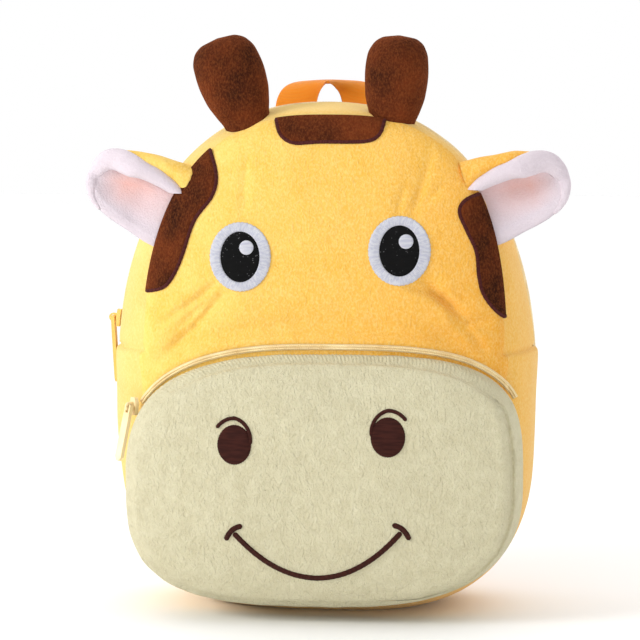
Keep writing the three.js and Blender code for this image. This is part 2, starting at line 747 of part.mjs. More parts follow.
// The grab handle: both ends are sewn flat into the back seam, and the webbing turns edge-on at its top
function handle() {
  const foot = bagHeight - topSeamInset * 2;
  const half = handleSpan / 2;
  const crest = bagHeight + handleRise - webbing;
  const curve = new THREE.CatmullRomCurve3(
    [
      new THREE.Vector3(-half, backY - 2, foot - 6),
      new THREE.Vector3(-half * 0.98, backY - 1, foot + 6),
      new THREE.Vector3(-half * 0.72, backY - 3, crest - 4.5),
      new THREE.Vector3(0, backY - 4, crest),
      new THREE.Vector3(half * 0.72, backY - 3, crest - 4.5),
      new THREE.Vector3(half * 0.98, backY - 1, foot + 6),
      new THREE.Vector3(half, backY - 2, foot - 6),
    ].map((p) => p.setX(p.x + handleCentreX)),
  );
  const acrossAt = (share) => {
    const edgeOn = Math.sin(Math.PI * share) ** 6;
    const side = share < 0.5 ? 1 : -1;
    return new THREE.Vector3(side * (1 - edgeOn), edgeOn, 0).normalize();
  };
  const halves = [0, 1].map((end) => {
    const part = new THREE.CatmullRomCurve3(
      spread(end * 0.5, end * 0.5 + 0.5, 8).map((share) => curve.getPoint(share)),
    );
    return solidOf(ribbon(part, 9, () => handleWidth, webbing, (share) => acrossAt(end * 0.5 + share * 0.4999)));
  });
  return geometryOf(halves[0].add(halves[1]).subtract(bagSeat));
}

function strapPlace(sign, { side, out, height }) {
  const backFace = backY + backCrown;
  return new THREE.Vector3((sign * side * bagWidth) / 2, backFace + out * strapStandOff, height * bagHeight);
}

function strapPieces(sign) {
  const across = () => new THREE.Vector3(1, 0, 0);
  const padCurve = new THREE.CatmullRomCurve3(STRAP_PAD.map((row) => strapPlace(sign, row)));
  const narrowAt = (share) => strapWidth * (1 - 0.35 * Math.max(0, share - 0.8) * 5);
  const pad = geometryOf(solidOf(ribbon(padCurve, 16, narrowAt, strapThickness, across)).subtract(bagSeat));

  const bucklePlace = padCurve.getPoint(1);
  const down = padCurve.getTangent(1);
  const webbingStart = bucklePlace.clone().addScaledVector(down, seatGap + buckleBar);
  webbingStart.y -= buckleThickness / 2 + webbing / 2 + seamGap + 0.4;
  const webCurve = new THREE.CatmullRomCurve3([
    webbingStart,
    ...STRAP_WEBBING.map((row) => strapPlace(sign, row)),
  ]);
  const strip = geometryOf(solidOf(ribbon(webCurve, 10, () => strapWebbingWidth, webbing, across)).subtract(bagSeat));
  const tab = anchorGeometry(webCurve.getPoint(1), strapPlace(sign, strapSeam));
  return { pad, strip, tab, bucklePlace, down };
}

// A two-slot plastic buckle, drawn flat with its top bar at the origin
function buckleGeometry() {
  const half = buckleWidth / 2;
  const shape = new THREE.Shape([
    new THREE.Vector2(-half, 0),
    new THREE.Vector2(-half * 0.9, -buckleHeight),
    new THREE.Vector2(half * 0.9, -buckleHeight),
    new THREE.Vector2(half, 0),
  ]);
  const slotHeight = (buckleHeight - 3 * buckleBar) / 2;
  for (const top of [-buckleBar, -2 * buckleBar - slotHeight]) {
    const edge = half * 0.9 - buckleBar;
    shape.holes.push(
      new THREE.Path([
        new THREE.Vector2(-edge, top),
        new THREE.Vector2(edge, top),
        new THREE.Vector2(edge, top - slotHeight),
        new THREE.Vector2(-edge, top - slotHeight),
      ]),
    );
  }
  const geometry = new THREE.ExtrudeGeometry(shape, { depth: buckleThickness, bevelEnabled: false });
  geometry.translate(0, 0, -buckleThickness / 2);
  return geometry;
}

// The tapered tab, sewn into the back seam at the bag's lower corner, that holds a strap's end
function anchorGeometry(end, seam) {
  const start = end.clone().addScaledVector(seam.clone().sub(end).normalize(), seamGap);
  const widthAt = (share) => THREE.MathUtils.lerp(strapWebbingWidth, anchorWidth, share);
  const tab = ribbon(new THREE.LineCurve3(start, seam), 1, widthAt, wall, () => new THREE.Vector3(1, 0, 0));
  return geometryOf(solidOf(tab).subtract(bagSeat));
}

const group = new THREE.Group();

function addMesh(name, geometry, material) {
  const look = { ...COLOURS[material], metalness: 0, side: THREE.DoubleSide };
  const mesh = new THREE.Mesh(geometry, new THREE.MeshStandardMaterial(look));
  mesh.name = name;
  group.add(mesh);
  return mesh;
}

// A zip's slider and its pull in a frame of their own: X across the zip, Y along it towards its closed end,
// Z out of the fabric, with the origin on the pull's crossbar.
function addSlider(name, { place, along, out, pullLength, pullLean }) {
  const across = along.clone().cross(out).normalize();
  const turn = new THREE.Matrix4().makeBasis(across, along, out);
  const bridgeRadius = bridgeHole + bridgeWall;
  const axisHeight = bridgeRadius;

  const body = new THREE.Shape();
  body.moveTo(-sliderWidth * 0.35, sliderLength / 2);
  body.lineTo(sliderWidth * 0.35, sliderLength / 2);
  body.lineTo(sliderWidth / 2, -sliderLength * 0.2);
  body.lineTo(sliderWidth * 0.3, -sliderLength / 2);
  body.lineTo(-sliderWidth * 0.3, -sliderLength / 2);
  body.lineTo(-sliderWidth / 2, -sliderLength * 0.2);
  const plate = new THREE.ExtrudeGeometry(body, { depth: sliderThickness, bevelEnabled: false });
  plate.translate(0, 0, -axisHeight - sliderThickness + bridgeOverlap);

  const bridgeShape = new THREE.Shape(
    spread(0, Math.PI, 10).map((a) => new THREE.Vector2(bridgeRadius * Math.cos(a), bridgeRadius * Math.sin(a))),
  );
  bridgeShape.lineTo(-bridgeRadius, -axisHeight);
  bridgeShape.lineTo(bridgeRadius, -axisHeight);
  bridgeShape.holes.push(
    new THREE.Path(loop(12, (a) => new THREE.Vector2(bridgeHole * Math.cos(a), bridgeHole * Math.sin(a)))),
  );
  const bridge = new THREE.ExtrudeGeometry(bridgeShape, { depth: bridgeThickness, bevelEnabled: false });
  bridge.translate(0, 0, -bridgeThickness / 2);
  bridge.rotateX(Math.PI / 2);
  bridge.rotateZ(Math.PI / 2);
  const slider = solidOf(plate).add(solidOf(bridge));

  const inner = bridgeThickness / 2 + pullClearance;
  const outer = inner + pullArm;
  const crossbar = new THREE.CylinderGeometry(crossbarRadius, crossbarRadius, 2 * outer, 10);
  crossbar.rotateZ(Math.PI / 2);
  const neck = bridgeRadius + 2 * pullClearance;
  const armShape = new THREE.Shape([
    new THREE.Vector2(inner, -crossbarRadius),
    new THREE.Vector2(outer, -crossbarRadius),
    new THREE.Vector2(outer, neck),
    new THREE.Vector2(pullWidth / 2, neck + 3),
    new THREE.Vector2(pullWidth / 2, pullLength - 2),
    new THREE.Vector2(pullWidth / 2 - 2, pullLength),
    new THREE.Vector2(2 - pullWidth / 2, pullLength),
    new THREE.Vector2(-pullWidth / 2, pullLength - 2),
    new THREE.Vector2(-pullWidth / 2, neck + 3),
    new THREE.Vector2(-outer, neck),
    new THREE.Vector2(-outer, -crossbarRadius),
    new THREE.Vector2(-inner, -crossbarRadius),
    new THREE.Vector2(-inner, neck),
    new THREE.Vector2(inner, neck),
  ]);
  const blade = new THREE.ExtrudeGeometry(armShape, { depth: pullThickness, bevelEnabled: false });
  blade.translate(0, 0, -pullThickness / 2);
  const pull = solidOf(crossbar).add(solidOf(blade));
  const pullGeometry = geometryOf(pull);
  pullGeometry.rotateX(radians(pullLean));

  for (const [suffix, geometry] of [
    ["slider", geometryOf(slider)],
    ["pull", pullGeometry],
  ]) {
    const mesh = addMesh(`${name}_${suffix}`, geometry, "plastic");
    mesh.quaternion.setFromRotationMatrix(turn);
    mesh.position.copy(place);
  }
}

// Bag body
addMesh("face_panel", panel(FACE_RINGS, LINING_RINGS, bodySteps, facePoint), "yellow");
addMesh("back_panel", panel(BACK_RINGS, BACK_RINGS.slice(0, 2), bodySteps, backPoint), "yellow");
const upperFrom = sideSeamAngle + seamAngleGap;
const upperTo = Math.PI - sideSeamAngle - seamAngleGap;
const zipEdge = zipWidth / 2 + seamGap;
const frontBand = gussetPiece(upperFrom, upperTo, frontY + seamGap, -zipEdge, 26, 3);
const backBand = gussetPiece(upperFrom, upperTo, zipEdge, backY - seamGap, 26, 3);
const lowerFrom = Math.PI - sideSeamAngle + seamAngleGap;
const lowerTo = 2 * Math.PI + sideSeamAngle - seamAngleGap;
const lowerBand = gussetPiece(lowerFrom, lowerTo, frontY + seamGap, backY - seamGap, 28, 5);
addMesh("upper_band_front", frontBand, "yellow");
addMesh("upper_band_back", backBand, "yellow");
addMesh("lower_band", lowerBand, "yellow");
addMesh("main_zip", mainZip(), "zip");

// Muzzle pocket
addMesh("muzzle_panel", panel(MUZZLE_RINGS, LINING_RINGS, muzzleSteps, muzzlePoint), "cream");
addMesh("muzzle_band", muzzleBand(), "cream");
addMesh("muzzle_zip", pocketZip(), "zip");

// Spots, eyes, nostrils and smile. The spots stop short of the horns and ears.
const trimmings = [
  ...HORNS.map((row) => hornSolid(row, seatGap)),
  ...EARS.flatMap((ear) => [0, 0.02].map((past) => earLayer(ear, -earSheet - seamGap, earSheet + seamGap, past))),
];
for (const [side, rows] of [
  ["forehead", FOREHEAD_SPOT],
  ["left", LEFT_SPOT],
  ["right", RIGHT_SPOT],
]) {
  const spot = layer([smoothShape(rows, 24)], bagSolid, patchThickness);
  addMesh(`spot_${side}`, geometryOf(trimmings.reduce((rest, cut) => rest.subtract(cut), spot)), "brown");
}
for (const eye of EYES) {
  const { white, pupil, spark } = eyeLayers(eye);
  addMesh(`eye_white_${eye.side}`, geometryOf(layer([white], bagSolid, stitchThickness)), "white");
  addMesh(`eye_pupil_${eye.side}`, geometryOf(layer([pupil], bagSolid, stitchThickness)), "black");
  addMesh(`eye_glint_${eye.side}`, geometryOf(layer([spark], bagSolid, stitchThickness)), "white");
}
for (const nostril of NOSTRILS) {
  const solid = layer(nostrilShapes(nostril), muzzleSolid, stitchThickness);
  addMesh(`nostril_${nostril.side}`, geometryOf(solid), "thread");
}
addMesh("smile", geometryOf(layer(smileShapes(), muzzleSolid, stitchThickness)), "thread");

// Horns and ears
const seated = (solid) => geometryOf(solid.subtract(bagSeat));
for (const row of HORNS) addMesh(`horn_${row.side}`, seated(hornSolid(row, 0)), "brown");
for (const ear of EARS) {
  addMesh(`ear_back_${ear.side}`, seated(earLayer(ear, seamGap / 2, earSheet)), "yellow");
  addMesh(`ear_lining_${ear.side}`, seated(earLayer(ear, -earSheet, -seamGap / 2)), "lining");
}

// Handle and shoulder straps
addMesh("grab_handle", handle(), "webbing");
for (const [side, sign] of [
  ["left", -1],
  ["right", 1],
]) {
  const { pad, strip, tab, bucklePlace, down } = strapPieces(sign);
  addMesh(`strap_pad_${side}`, pad, "yellow");
  addMesh(`strap_webbing_${side}`, strip, "webbing");
  const buckle = addMesh(`strap_buckle_${side}`, buckleGeometry(), "plastic");
  const up = down.clone().negate();
  const across = new THREE.Vector3(1, 0, 0).addScaledVector(up, -up.x).normalize();
  buckle.quaternion.setFromRotationMatrix(new THREE.Matrix4().makeBasis(across, up, across.clone().cross(up)));
  buckle.position.copy(bucklePlace).addScaledVector(down, seatGap);
  addMesh(`strap_anchor_${side}`, tab, "yellow");
}

// Zip sliders, each at the left end of its zip
const seatHeight = sliderThickness - bridgeOverlap + bridgeHole + bridgeWall + seamGap;
const mainAngle = Math.PI - sideSeamAngle - 0.08;
const mainPlace = new THREE.Vector3(...gussetPoint(mainAngle, 0, seatHeight + coilHeight - zipTape / 2));
const mainAlong = new THREE.Vector3(...gussetPoint(mainAngle + 0.05, 0, 0));
mainAlong.sub(new THREE.Vector3(...gussetPoint(mainAngle - 0.05, 0, 0))).normalize();
addSlider("main_zip", {
  place: mainPlace,
  along: mainAlong,
  out: new THREE.Vector3(mainAlong.z, 0, -mainAlong.x),
  pullLength: mainPullLength,
  pullLean: mainPullLean,
});

const pocketOut = new THREE.Vector3(-0.78, -0.62, 0).normalize();
const pocketAlong = new THREE.Vector3(0, 0, -1);
const pocketEdge = muzzleOutline(pocketZipDepth).grown(seatGap);
const pocketAngle = radians(pocketZipTo + pocketSliderPast);
const [pocketX, pocketZ] = pocketEdge.grown(sliderWidth * 0.4).place(pocketAngle);
const pocketY = faceDepthAt(...pocketEdge.place(pocketAngle)) - zipTape - seamGap;
const pocketPlace = new THREE.Vector3(pocketX, pocketY, pocketZ).addScaledVector(pocketOut, seatHeight);
addSlider("muzzle_zip", {
  place: pocketPlace,
  along: pocketAlong,
  out: pocketOut,
  pullLength: pocketPullLength,
  pullLean: pocketPullLean,
});

export default group;
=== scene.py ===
import math

import bpy
import numpy as np
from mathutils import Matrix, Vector


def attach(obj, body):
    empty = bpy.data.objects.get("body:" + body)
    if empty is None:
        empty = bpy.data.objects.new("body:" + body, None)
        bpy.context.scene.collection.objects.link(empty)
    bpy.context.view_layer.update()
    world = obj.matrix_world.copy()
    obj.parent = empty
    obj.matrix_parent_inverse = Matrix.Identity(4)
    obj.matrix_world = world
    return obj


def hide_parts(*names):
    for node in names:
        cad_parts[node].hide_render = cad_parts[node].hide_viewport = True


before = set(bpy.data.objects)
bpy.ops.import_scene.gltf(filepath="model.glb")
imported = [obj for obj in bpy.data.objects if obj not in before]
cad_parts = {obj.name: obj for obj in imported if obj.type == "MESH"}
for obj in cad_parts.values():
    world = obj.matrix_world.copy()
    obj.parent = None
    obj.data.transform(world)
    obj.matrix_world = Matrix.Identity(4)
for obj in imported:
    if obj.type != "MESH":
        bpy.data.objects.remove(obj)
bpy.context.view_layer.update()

# All lengths below are in millimetres; meshes are written in metres.

# Bag body
BAG_WIDTH, BAG_HEIGHT, BAG_DEPTH = 218, 260, 76
WIDEST_HEIGHT = 112
TOP_SQUARENESS, BASE_SQUARENESS = 2.27, 3.15
FACE_TOP_SQUARENESS, FACE_TOP_RIGHT_SQUARENESS = 2.6, 3
STAND_FLAT = 3
FRONT_SEAM_INSET, BACK_SEAM_INSET = 15.5, 8
TOP_SEAM_INSET, BASE_SEAM_INSET = 5.5, 5
FACE_CENTRE_X = 2
FACE_CROWN, BACK_CROWN = 17, 5
SIDE_SEAM_HEIGHT = 135
FRONT_Y = -BAG_DEPTH / 2
BACK_Y = BAG_DEPTH / 2
FACE_HALF = BAG_WIDTH / 2 - FRONT_SEAM_INSET

# Muzzle pocket
MUZZLE_WIDTH, MUZZLE_HEIGHT, MUZZLE_DEPTH = 196, 134.5, 24
MUZZLE_CENTRE_X = 3
MUZZLE_WIDEST_HEIGHT = 71
MUZZLE_BASE_HEIGHT, MUZZLE_BASE_RISE = 6, 3.2
MUZZLE_TOP_SQUARENESS, MUZZLE_TOP_RIGHT_SQUARENESS = 2.6, 3.4
MUZZLE_BASE_SQUARENESS, MUZZLE_BASE_RIGHT_SQUARENESS = 3.3, 2.65
MUZZLE_BULGE, MUZZLE_CROWN = 2.5, 13
MUZZLE_SEAM_INSET = 0.5
MUZZLE_TUCK = 9
MUZZLE_FRONT_Y = FRONT_Y - MUZZLE_DEPTH

# Zips and webbing
ZIP_WIDTH = 7
POCKET_ZIP_WIDTH, POCKET_ZIP_DEPTH = 3, 0.6
POCKET_ZIP_FROM, POCKET_ZIP_TO = 33, 149
POCKET_COIL_HALF, POCKET_COIL_PITCH = 1.15, 1.1
COIL_HALF, COIL_PITCH, COIL_HEIGHT = 1.5, 1.5, 1.2
ZIP_SINK = 0.8
ZIP_OVERLAP = 0.6
SEAT_GAP = 0.5
HANDLE_CENTRE_X = -1.6
HANDLE_WIDTH, HANDLE_CROWN = 20, 0.5
WEBBING_THICKNESS = 1.6
STRAP_WIDTH, STRAP_THICKNESS = 36, 6
STRAP_STAND_OFF = 42
STRAP_NARROWING = 0.35
STRAP_WEBBING_WIDTH = 18
BUCKLE_BAR, BUCKLE_THICKNESS, BUCKLE_GAP = 3.2, 3, 0.7
ANCHOR_TOP_WIDTH, ANCHOR_FOOT_WIDTH, ANCHOR_THICKNESS = 18, 26, 3

# Horns and ears
HORN_LENGTH, HORN_WIDTH, HORN_THICKNESS = 44.5, 35, 24
EAR_LENGTH, EAR_SPAN = 44, 46

# Embroidery: sizes, widths of the sewn lines, and how high the threads stand over the plush
EYE_WIDTH, EYE_HEIGHT = 31, 34.5
PUPIL_WIDTH, PUPIL_HEIGHT = 20.5, 26
GLINT_WIDTH = 7.4
NOSTRIL_WIDTH, NOSTRIL_HEIGHT = 17, 19.6
SMILE_WIDTH, SMILE_DROP, SMILE_LIFT = 83, 22.5, 1.6
STITCH_WIDTH = 2.7
BORDER_WIDTH, BORDER_INSET = 2.3, 0.7
BROW_WIDTH, BROW_RISE = 1.9, 0.8
THREAD_LIFT, GLINT_LIFT = 0.15, 0.9
LINE_RISE, TICK_RISE = 0.9, 0.85
WHITE_RISE, PUPIL_RISE, NOSTRIL_RISE = 0.9, 1.1, 1.0

# The plush spots: their share of the way out to the seam, and their thickness at the edge and inside
SPOT_REACH = 0.995
SPOT_EDGE, SPOT_THICKNESS = 0.35, 1.3

# How deep the sewn seams pull in, and how far to each side
SEAM_PULL, SEAM_SPREAD = 1.5, 2.6
MUZZLE_PULL = 2.8

# How flat the filled-out panels are in the middle, and how round towards their rims
CROWN_FLATNESS, CROWN_ROUNDNESS = 2.6, 0.62

# The seam along each side, and how far below it the cloth bulges
SIDE_SEAM_PULL, SIDE_SEAM_SPREAD = 1.2, 1.8
SIDE_BULGE_REACH = 16

# Over the pocket's zip the cloth starts to fold at this height. The ridge beside the zip and the hollow
# beyond it are each a depth, a distance from the zip and a spread.
FOLD_HEIGHT = 95
WELT_RIDGE = (-1.0, 2.6, 2.2)
WELT_HOLLOW = (1.5, 9, 4.2)

# The muzzle's front seam: how far it lies in from the rim at each angle, its groove and the swell beside it
MUZZLE_SEAM_ANGLES = (-80, -60, -35, -10, 24, 44)
MUZZLE_SEAM_INSETS = (0, 1.2, 2.1, 2.4, 2.6, 0)
MUZZLE_GROOVE = (2.1, 0, 1.2)
MUZZLE_SWELL = (-0.7, 4, 3)

# The muzzle band's ribs, and how far its underside sags
RIB_PITCH, RIB_DEPTH = 1.7, 0.22
UNDERSIDE_SAG = 2

# How far the tip of the main zip's pull presses the cloth in, and the half width and height of that place
TIP_PRESS = 0.8
TIP_HALF_WIDTH, TIP_HALF_HEIGHT = 7, 13
TIP_HEIGHT = 116

# The soft unevenness of each cloth: rows of its height, its wavelength and its seed
UNEVEN = {
    "face": ((0.35, 34, 3), (0.12, 11, 4)),
    "back": ((0.4, 50, 31),),
    "gusset": ((0.5, 46, 22),),
    "gusset_pucker": ((0.5, 15, 21),),
    "muzzle": ((0.45, 44, 13), (0.13, 12, 14)),
    "muzzle_pucker": ((0.3, 17, 41),),
    "spot": ((0.12, 6, 51),),
}


def smoothstep(value):
    value = np.clip(value, 0, 1)
    return value * value * (3 - 2 * value)


def hump(distance, row):
    """A soft hump at a distance: its height, its place and its spread."""
    height, place, spread = row
    return height * np.exp(-(((distance - place) / spread) ** 2))


def full_turn(count):
    """Angles round a full turn, without its end."""
    return np.linspace(0, 2 * np.pi, count, endpoint=False)


def unit(vectors):
    return vectors / np.linalg.norm(vectors, axis=-1, keepdims=True)


def join(*parts):
    """Coordinates, or other values of each place, joined along a last axis."""
    return np.stack(np.broadcast_arrays(*parts), -1)


def pairs(first, second):
    """Two values for each place, as a list of pairs."""
    return join(first, second).reshape(-1, 2)


def cubic(x, xs, ys):
    """A smooth curve through the places (xs, ys), which doesn't overshoot them."""
    x, xs, ys = np.asarray(x, float), np.asarray(xs, float), np.asarray(ys, float)
    slope = np.diff(ys) / np.diff(xs)
    tangent = np.zeros(len(xs))
    for i in range(1, len(xs) - 1):
        if slope[i - 1] * slope[i] > 0:
            tangent[i] = 2 / (1 / slope[i - 1] + 1 / slope[i])
    tangent[0], tangent[-1] = slope[0], slope[-1]
    x = np.clip(x, xs[0], xs[-1])
    i = np.clip(np.searchsorted(xs, x, side="right") - 1, 0, len(xs) - 2)
    width = xs[i + 1] - xs[i]
    t = (x - xs[i]) / width
    return (
        (2 * t**3 - 3 * t**2 + 1) * ys[i]
        + (t**3 - 2 * t**2 + t) * width * tangent[i]
        + (3 * t**2 - 2 * t**3) * ys[i + 1]
        + (t**3 - t**2) * width * tangent[i + 1]
    )


def spline(points, count):
    """A Catmull-Rom curve through points, sampled evenly by its parameter."""
    points = np.asarray(points, float)
    padded = np.vstack([2 * points[0] - points[1], points, 2 * points[-1] - points[-2]])
    s = np.linspace(0, len(points) - 1, count)
    i = np.clip(s.astype(int), 0, len(points) - 2)
    t = (s - i)[:, None]
    a, b, c, d = padded[i], padded[i + 1], padded[i + 2], padded[i + 3]
    square, cube = 2 * a - 5 * b + 4 * c - d, 3 * b - a - 3 * c + d
    return 0.5 * (2 * b + (c - a) * t + square * t**2 + cube * t**3)


def length_along(line):
    """The length of a line from its start to each of its points."""
    return np.concatenate([[0], np.cumsum(np.linalg.norm(np.diff(line, axis=0), axis=1))])


def even(line, count):
    """The same line, sampled evenly along its length, and that length."""
    along = length_along(line)
    at = np.linspace(0, along[-1], count)
    return np.stack([np.interp(at, along, line[:, k]) for k in range(line.shape[1])], -1), along[-1]


def lumps(points, size, seed):
    """Soft random unevenness of about one wavelength, from -1 to 1."""
    rng = np.random.default_rng(seed)
    total = np.zeros(points.shape[:-1])
    for _ in range(9):
        direction = rng.normal(size=3)
        direction *= rng.uniform(0.7, 1.4) / np.linalg.norm(direction)
        total += np.sin(points @ direction * (2 * np.pi / size) + rng.uniform(0, 2 * np.pi))
    return total / 4


def uneven(points, cloth):
    return sum(height * lumps(points, size, seed) for height, size, seed in UNEVEN[cloth])


class Outline:
    """A closed outline seen from the front, with a squareness for each of its corners."""

    def __init__(self, half_width, up, down, centre, top, base, top_right=None, base_right=None):
        self.half_width, self.up, self.down = half_width, up, down
        self.centre = centre
        self.top, self.base = top, base
        self.top_right, self.base_right = top_right or top, base_right or base

    def corner(self, right, upper):
        top = np.where(right, self.top_right, self.top)
        base = np.where(right, self.base_right, self.base)
        return np.where(upper, top, base), np.where(upper, self.up, self.down)

    def place(self, angle, share=1.0):
        power, reach = self.corner(np.cos(angle) >= 0, np.sin(angle) >= 0)
        length = (np.abs(np.cos(angle)) ** power + np.abs(np.sin(angle)) ** power) ** (1 / power)
        x = self.centre[0] + share * self.half_width * np.cos(angle) / length
        return x, self.centre[1] + share * reach * np.sin(angle) / length

    def share(self, x, z):
        """How far out from the middle a place lies, as a share of the way to the outline."""
        across, rise = x - self.centre[0], z - self.centre[1]
        power, reach = self.corner(across >= 0, rise >= 0)
        return (np.abs(across / self.half_width) ** power + np.abs(rise / reach) ** power) ** (1 / power)

    def angle(self, x, z):
        across, rise = x - self.centre[0], z - self.centre[1]
        return np.arctan2(rise / np.where(rise >= 0, self.up, self.down), across / self.half_width)

    def beside(self, x, z):
        """How far a place lies out from the outline, measured from its middle."""
        away = np.hypot(x - self.centre[0], z - self.centre[1])
        return away * (1 - 1 / np.maximum(self.share(x, z), 0.05))


def bag_outline(side_inset, top_inset, base_inset, centre_x=0, top=TOP_SQUARENESS, top_right=None):
    return Outline(
        BAG_WIDTH / 2 - side_inset, BAG_HEIGHT - WIDEST_HEIGHT - top_inset, WIDEST_HEIGHT - base_inset,
        (centre_x, WIDEST_HEIGHT), top, BASE_SQUARENESS, top_right,
    )


FRONT_SEAM = bag_outline(
    FRONT_SEAM_INSET, TOP_SEAM_INSET, BASE_SEAM_INSET, FACE_CENTRE_X, FACE_TOP_SQUARENESS,
    FACE_TOP_RIGHT_SQUARENESS,
)
FULLEST = bag_outline(0, 0, -STAND_FLAT)
BACK_SEAM = bag_outline(BACK_SEAM_INSET, TOP_SEAM_INSET, BASE_SEAM_INSET)
SWELL_DEPTHS = (0, 0.12, 0.3, 0.5, 0.7, 0.88, 1)
SWELL = (0, 0.5, 0.88, 1, 0.93, 0.62, 0)

# Creases in the plush face, the broad ones first. A row is a crease's two ends as shares of the face's half
# width and the bag's height, then its width and depth in millimetres.
CREASES = (
    (-0.86, 0.5, -0.5, 0.62, 9, 2.4),
    (-0.8, 0.55, -0.62, 0.62, 7, 1.4),
    (0.62, 0.64, 0.86, 0.57, 9, 2.2),
    (0.58, 0.58, 0.88, 0.49, 8, 1.9),
    (0.6, 0.91, 0.5, 0.79, 12, 1.7),
    (-0.45, 0.585, 0.45, 0.585, 14, 1.7),
    (-0.379, 0.895, -0.389, 0.853, 2.8, 1.2),
    (-0.389, 0.853, -0.4, 0.791, 2.8, 1.2),
    (-0.357, 0.837, -0.373, 0.799, 2.2, 0.8),
    (0.619, 0.924, 0.576, 0.859, 3.2, 1.8),
    (0.576, 0.859, 0.517, 0.791, 3.2, 1.8),
    (0.785, 0.859, 0.667, 0.841, 3, 1.5),
    (0.667, 0.841, 0.576, 0.808, 3, 1.5),
    (0.469, 0.841, 0.431, 0.791, 2.6, 0.9),
    (-0.089, 0.726, 0.088, 0.751, 3.2, -0.6),
    (-0.513, 0.629, -0.658, 0.568, 2.8, 2.4),
    (-0.658, 0.568, -0.797, 0.525, 2.8, 2.4),
    (-0.55, 0.649, -0.7, 0.608, 2.8, 2.2),
    (-0.7, 0.608, -0.904, 0.56, 2.8, 2),
    (-0.577, 0.622, -0.743, 0.568, 2.2, 1.2),
    (-0.813, 0.612, -0.915, 0.587, 2.6, 0.9),
    (0.565, 0.658, 0.667, 0.627, 2.8, 3),
    (0.667, 0.627, 0.807, 0.579, 2.8, 3),
    (0.807, 0.579, 0.952, 0.587, 2.8, 2.8),
    (0.49, 0.649, 0.619, 0.635, 2.6, 2),
    (0.619, 0.635, 0.726, 0.612, 2.6, 2),
    (0.726, 0.587, 0.823, 0.558, 3, 2.2),
    (0.823, 0.558, 0.898, 0.525, 3, 2.2),
    (0.866, 0.571, 0.984, 0.556, 2.6, 1.6),
    (0.742, 0.641, 0.823, 0.616, 2.8, 1.3),
    (0.665, 0.612, 0.8, 0.562, 5, -1.4),
    (0.7, 0.65, 0.86, 0.6, 5, -1.2),
)


def crease_depth(x, z):
    total = np.zeros(np.shape(x))
    for x0, z0, x1, z1, width, depth in CREASES:
        ax, az = x0 * FACE_HALF, z0 * BAG_HEIGHT
        dx, dz = x1 * FACE_HALF - ax, z1 * BAG_HEIGHT - az
        along = np.clip(((x - ax) * dx + (z - az) * dz) / (dx * dx + dz * dz), 0, 1)
        away = np.hypot(x - ax - along * dx, z - az - along * dz)
        ends = 0.5 + 0.5 * np.sin(np.pi * np.clip(along, 0.02, 0.98))
        total += depth * ends * np.exp(-2 * (away / width) ** 2)
    return total


def crown(share):
    return (1 - np.clip(share, 0, 1) ** CROWN_FLATNESS) ** CROWN_ROUNDNESS


def muzzle_outline(depth, grow=0.0):
    swell = np.sin(np.pi * depth) * MUZZLE_BULGE - depth * MUZZLE_SEAM_INSET + grow
    return Outline(
        MUZZLE_WIDTH / 2 + swell,
        MUZZLE_HEIGHT - MUZZLE_WIDEST_HEIGHT + swell,
        MUZZLE_WIDEST_HEIGHT - MUZZLE_BASE_HEIGHT - depth * MUZZLE_BASE_RISE + grow,
        (MUZZLE_CENTRE_X, MUZZLE_WIDEST_HEIGHT), MUZZLE_TOP_SQUARENESS, MUZZLE_BASE_SQUARENESS,
        MUZZLE_TOP_RIGHT_SQUARENESS, MUZZLE_BASE_RIGHT_SQUARENESS,
    )


MUZZLE_SEAM = muzzle_outline(1)
WELT = muzzle_outline(POCKET_ZIP_DEPTH, SEAT_GAP + POCKET_ZIP_WIDTH)


def face_y(x, z):
    """The plush face's surface, over a place on the front."""
    share = FRONT_SEAM.share(x, z)
    fade = 1 - np.clip(share, 0, 1) ** 6
    beside = WELT.beside(x, z)
    welt = (hump(beside, WELT_RIDGE) + hump(beside, WELT_HOLLOW)) * smoothstep((z - FOLD_HEIGHT) / 30)
    folds = crease_depth(x, z) + welt + uneven(join(x, 0, z), "face")
    return FRONT_Y - FACE_CROWN * crown(share) + folds * fade


def seam_inset(angle):
    """How far the muzzle's front seam lies in from its outline, round the outline."""
    degrees = (np.degrees(angle) + 90) % 360 - 90
    return np.interp(degrees, MUZZLE_SEAM_ANGLES, MUZZLE_SEAM_INSETS)


def muzzle_y(x, z):
    """The muzzle's front surface, over a place on the front."""
    share = MUZZLE_SEAM.share(x, z)
    fade = 1 - np.clip(share, 0, 1) ** 6
    soft = uneven(join(x, 0, z), "muzzle")
    inset = seam_inset(MUZZLE_SEAM.angle(x, z))
    inside = -MUZZLE_SEAM.beside(x, z) - inset
    seam = (hump(inside, MUZZLE_GROOVE) + hump(inside, MUZZLE_SWELL)) * smoothstep(inset / 1.6)
    return MUZZLE_FRONT_Y - MUZZLE_CROWN * crown(share) + soft * fade + seam


def build(name, points, faces, material, node=None, uv=None):
    mesh = bpy.data.meshes.new(name)
    mesh.from_pydata((points * 0.001).tolist(), [], faces)
    mesh.polygons.foreach_set("use_smooth", [True] * len(mesh.polygons))
    if uv is not None:
        layer = mesh.uv_layers.new(name="thread")
        corner = np.zeros(len(mesh.loops), int)
        mesh.loops.foreach_get("vertex_index", corner)
        layer.data.foreach_set("uv", uv[corner].ravel())
    mesh.materials.append(material)
    mesh.validate()
    mesh.update()
    piece = bpy.data.objects.new(name, mesh)
    bpy.context.scene.collection.objects.link(piece)
    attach(piece, "bag")
    # The frame has materials of the same names, so Blender adds a number after a dot
    if node:
        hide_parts(node)
    return piece


def grid_quads(rows, columns, wrap=False):
    r = np.arange(rows - 1)[:, None]
    c = np.arange(columns if wrap else columns - 1)[None, :]
    r1, c1 = r + 1, (c + 1) % columns
    quads = join(r * columns + c, r * columns + c1, r1 * columns + c1, r1 * columns + c)
    return quads.reshape(-1, 4)


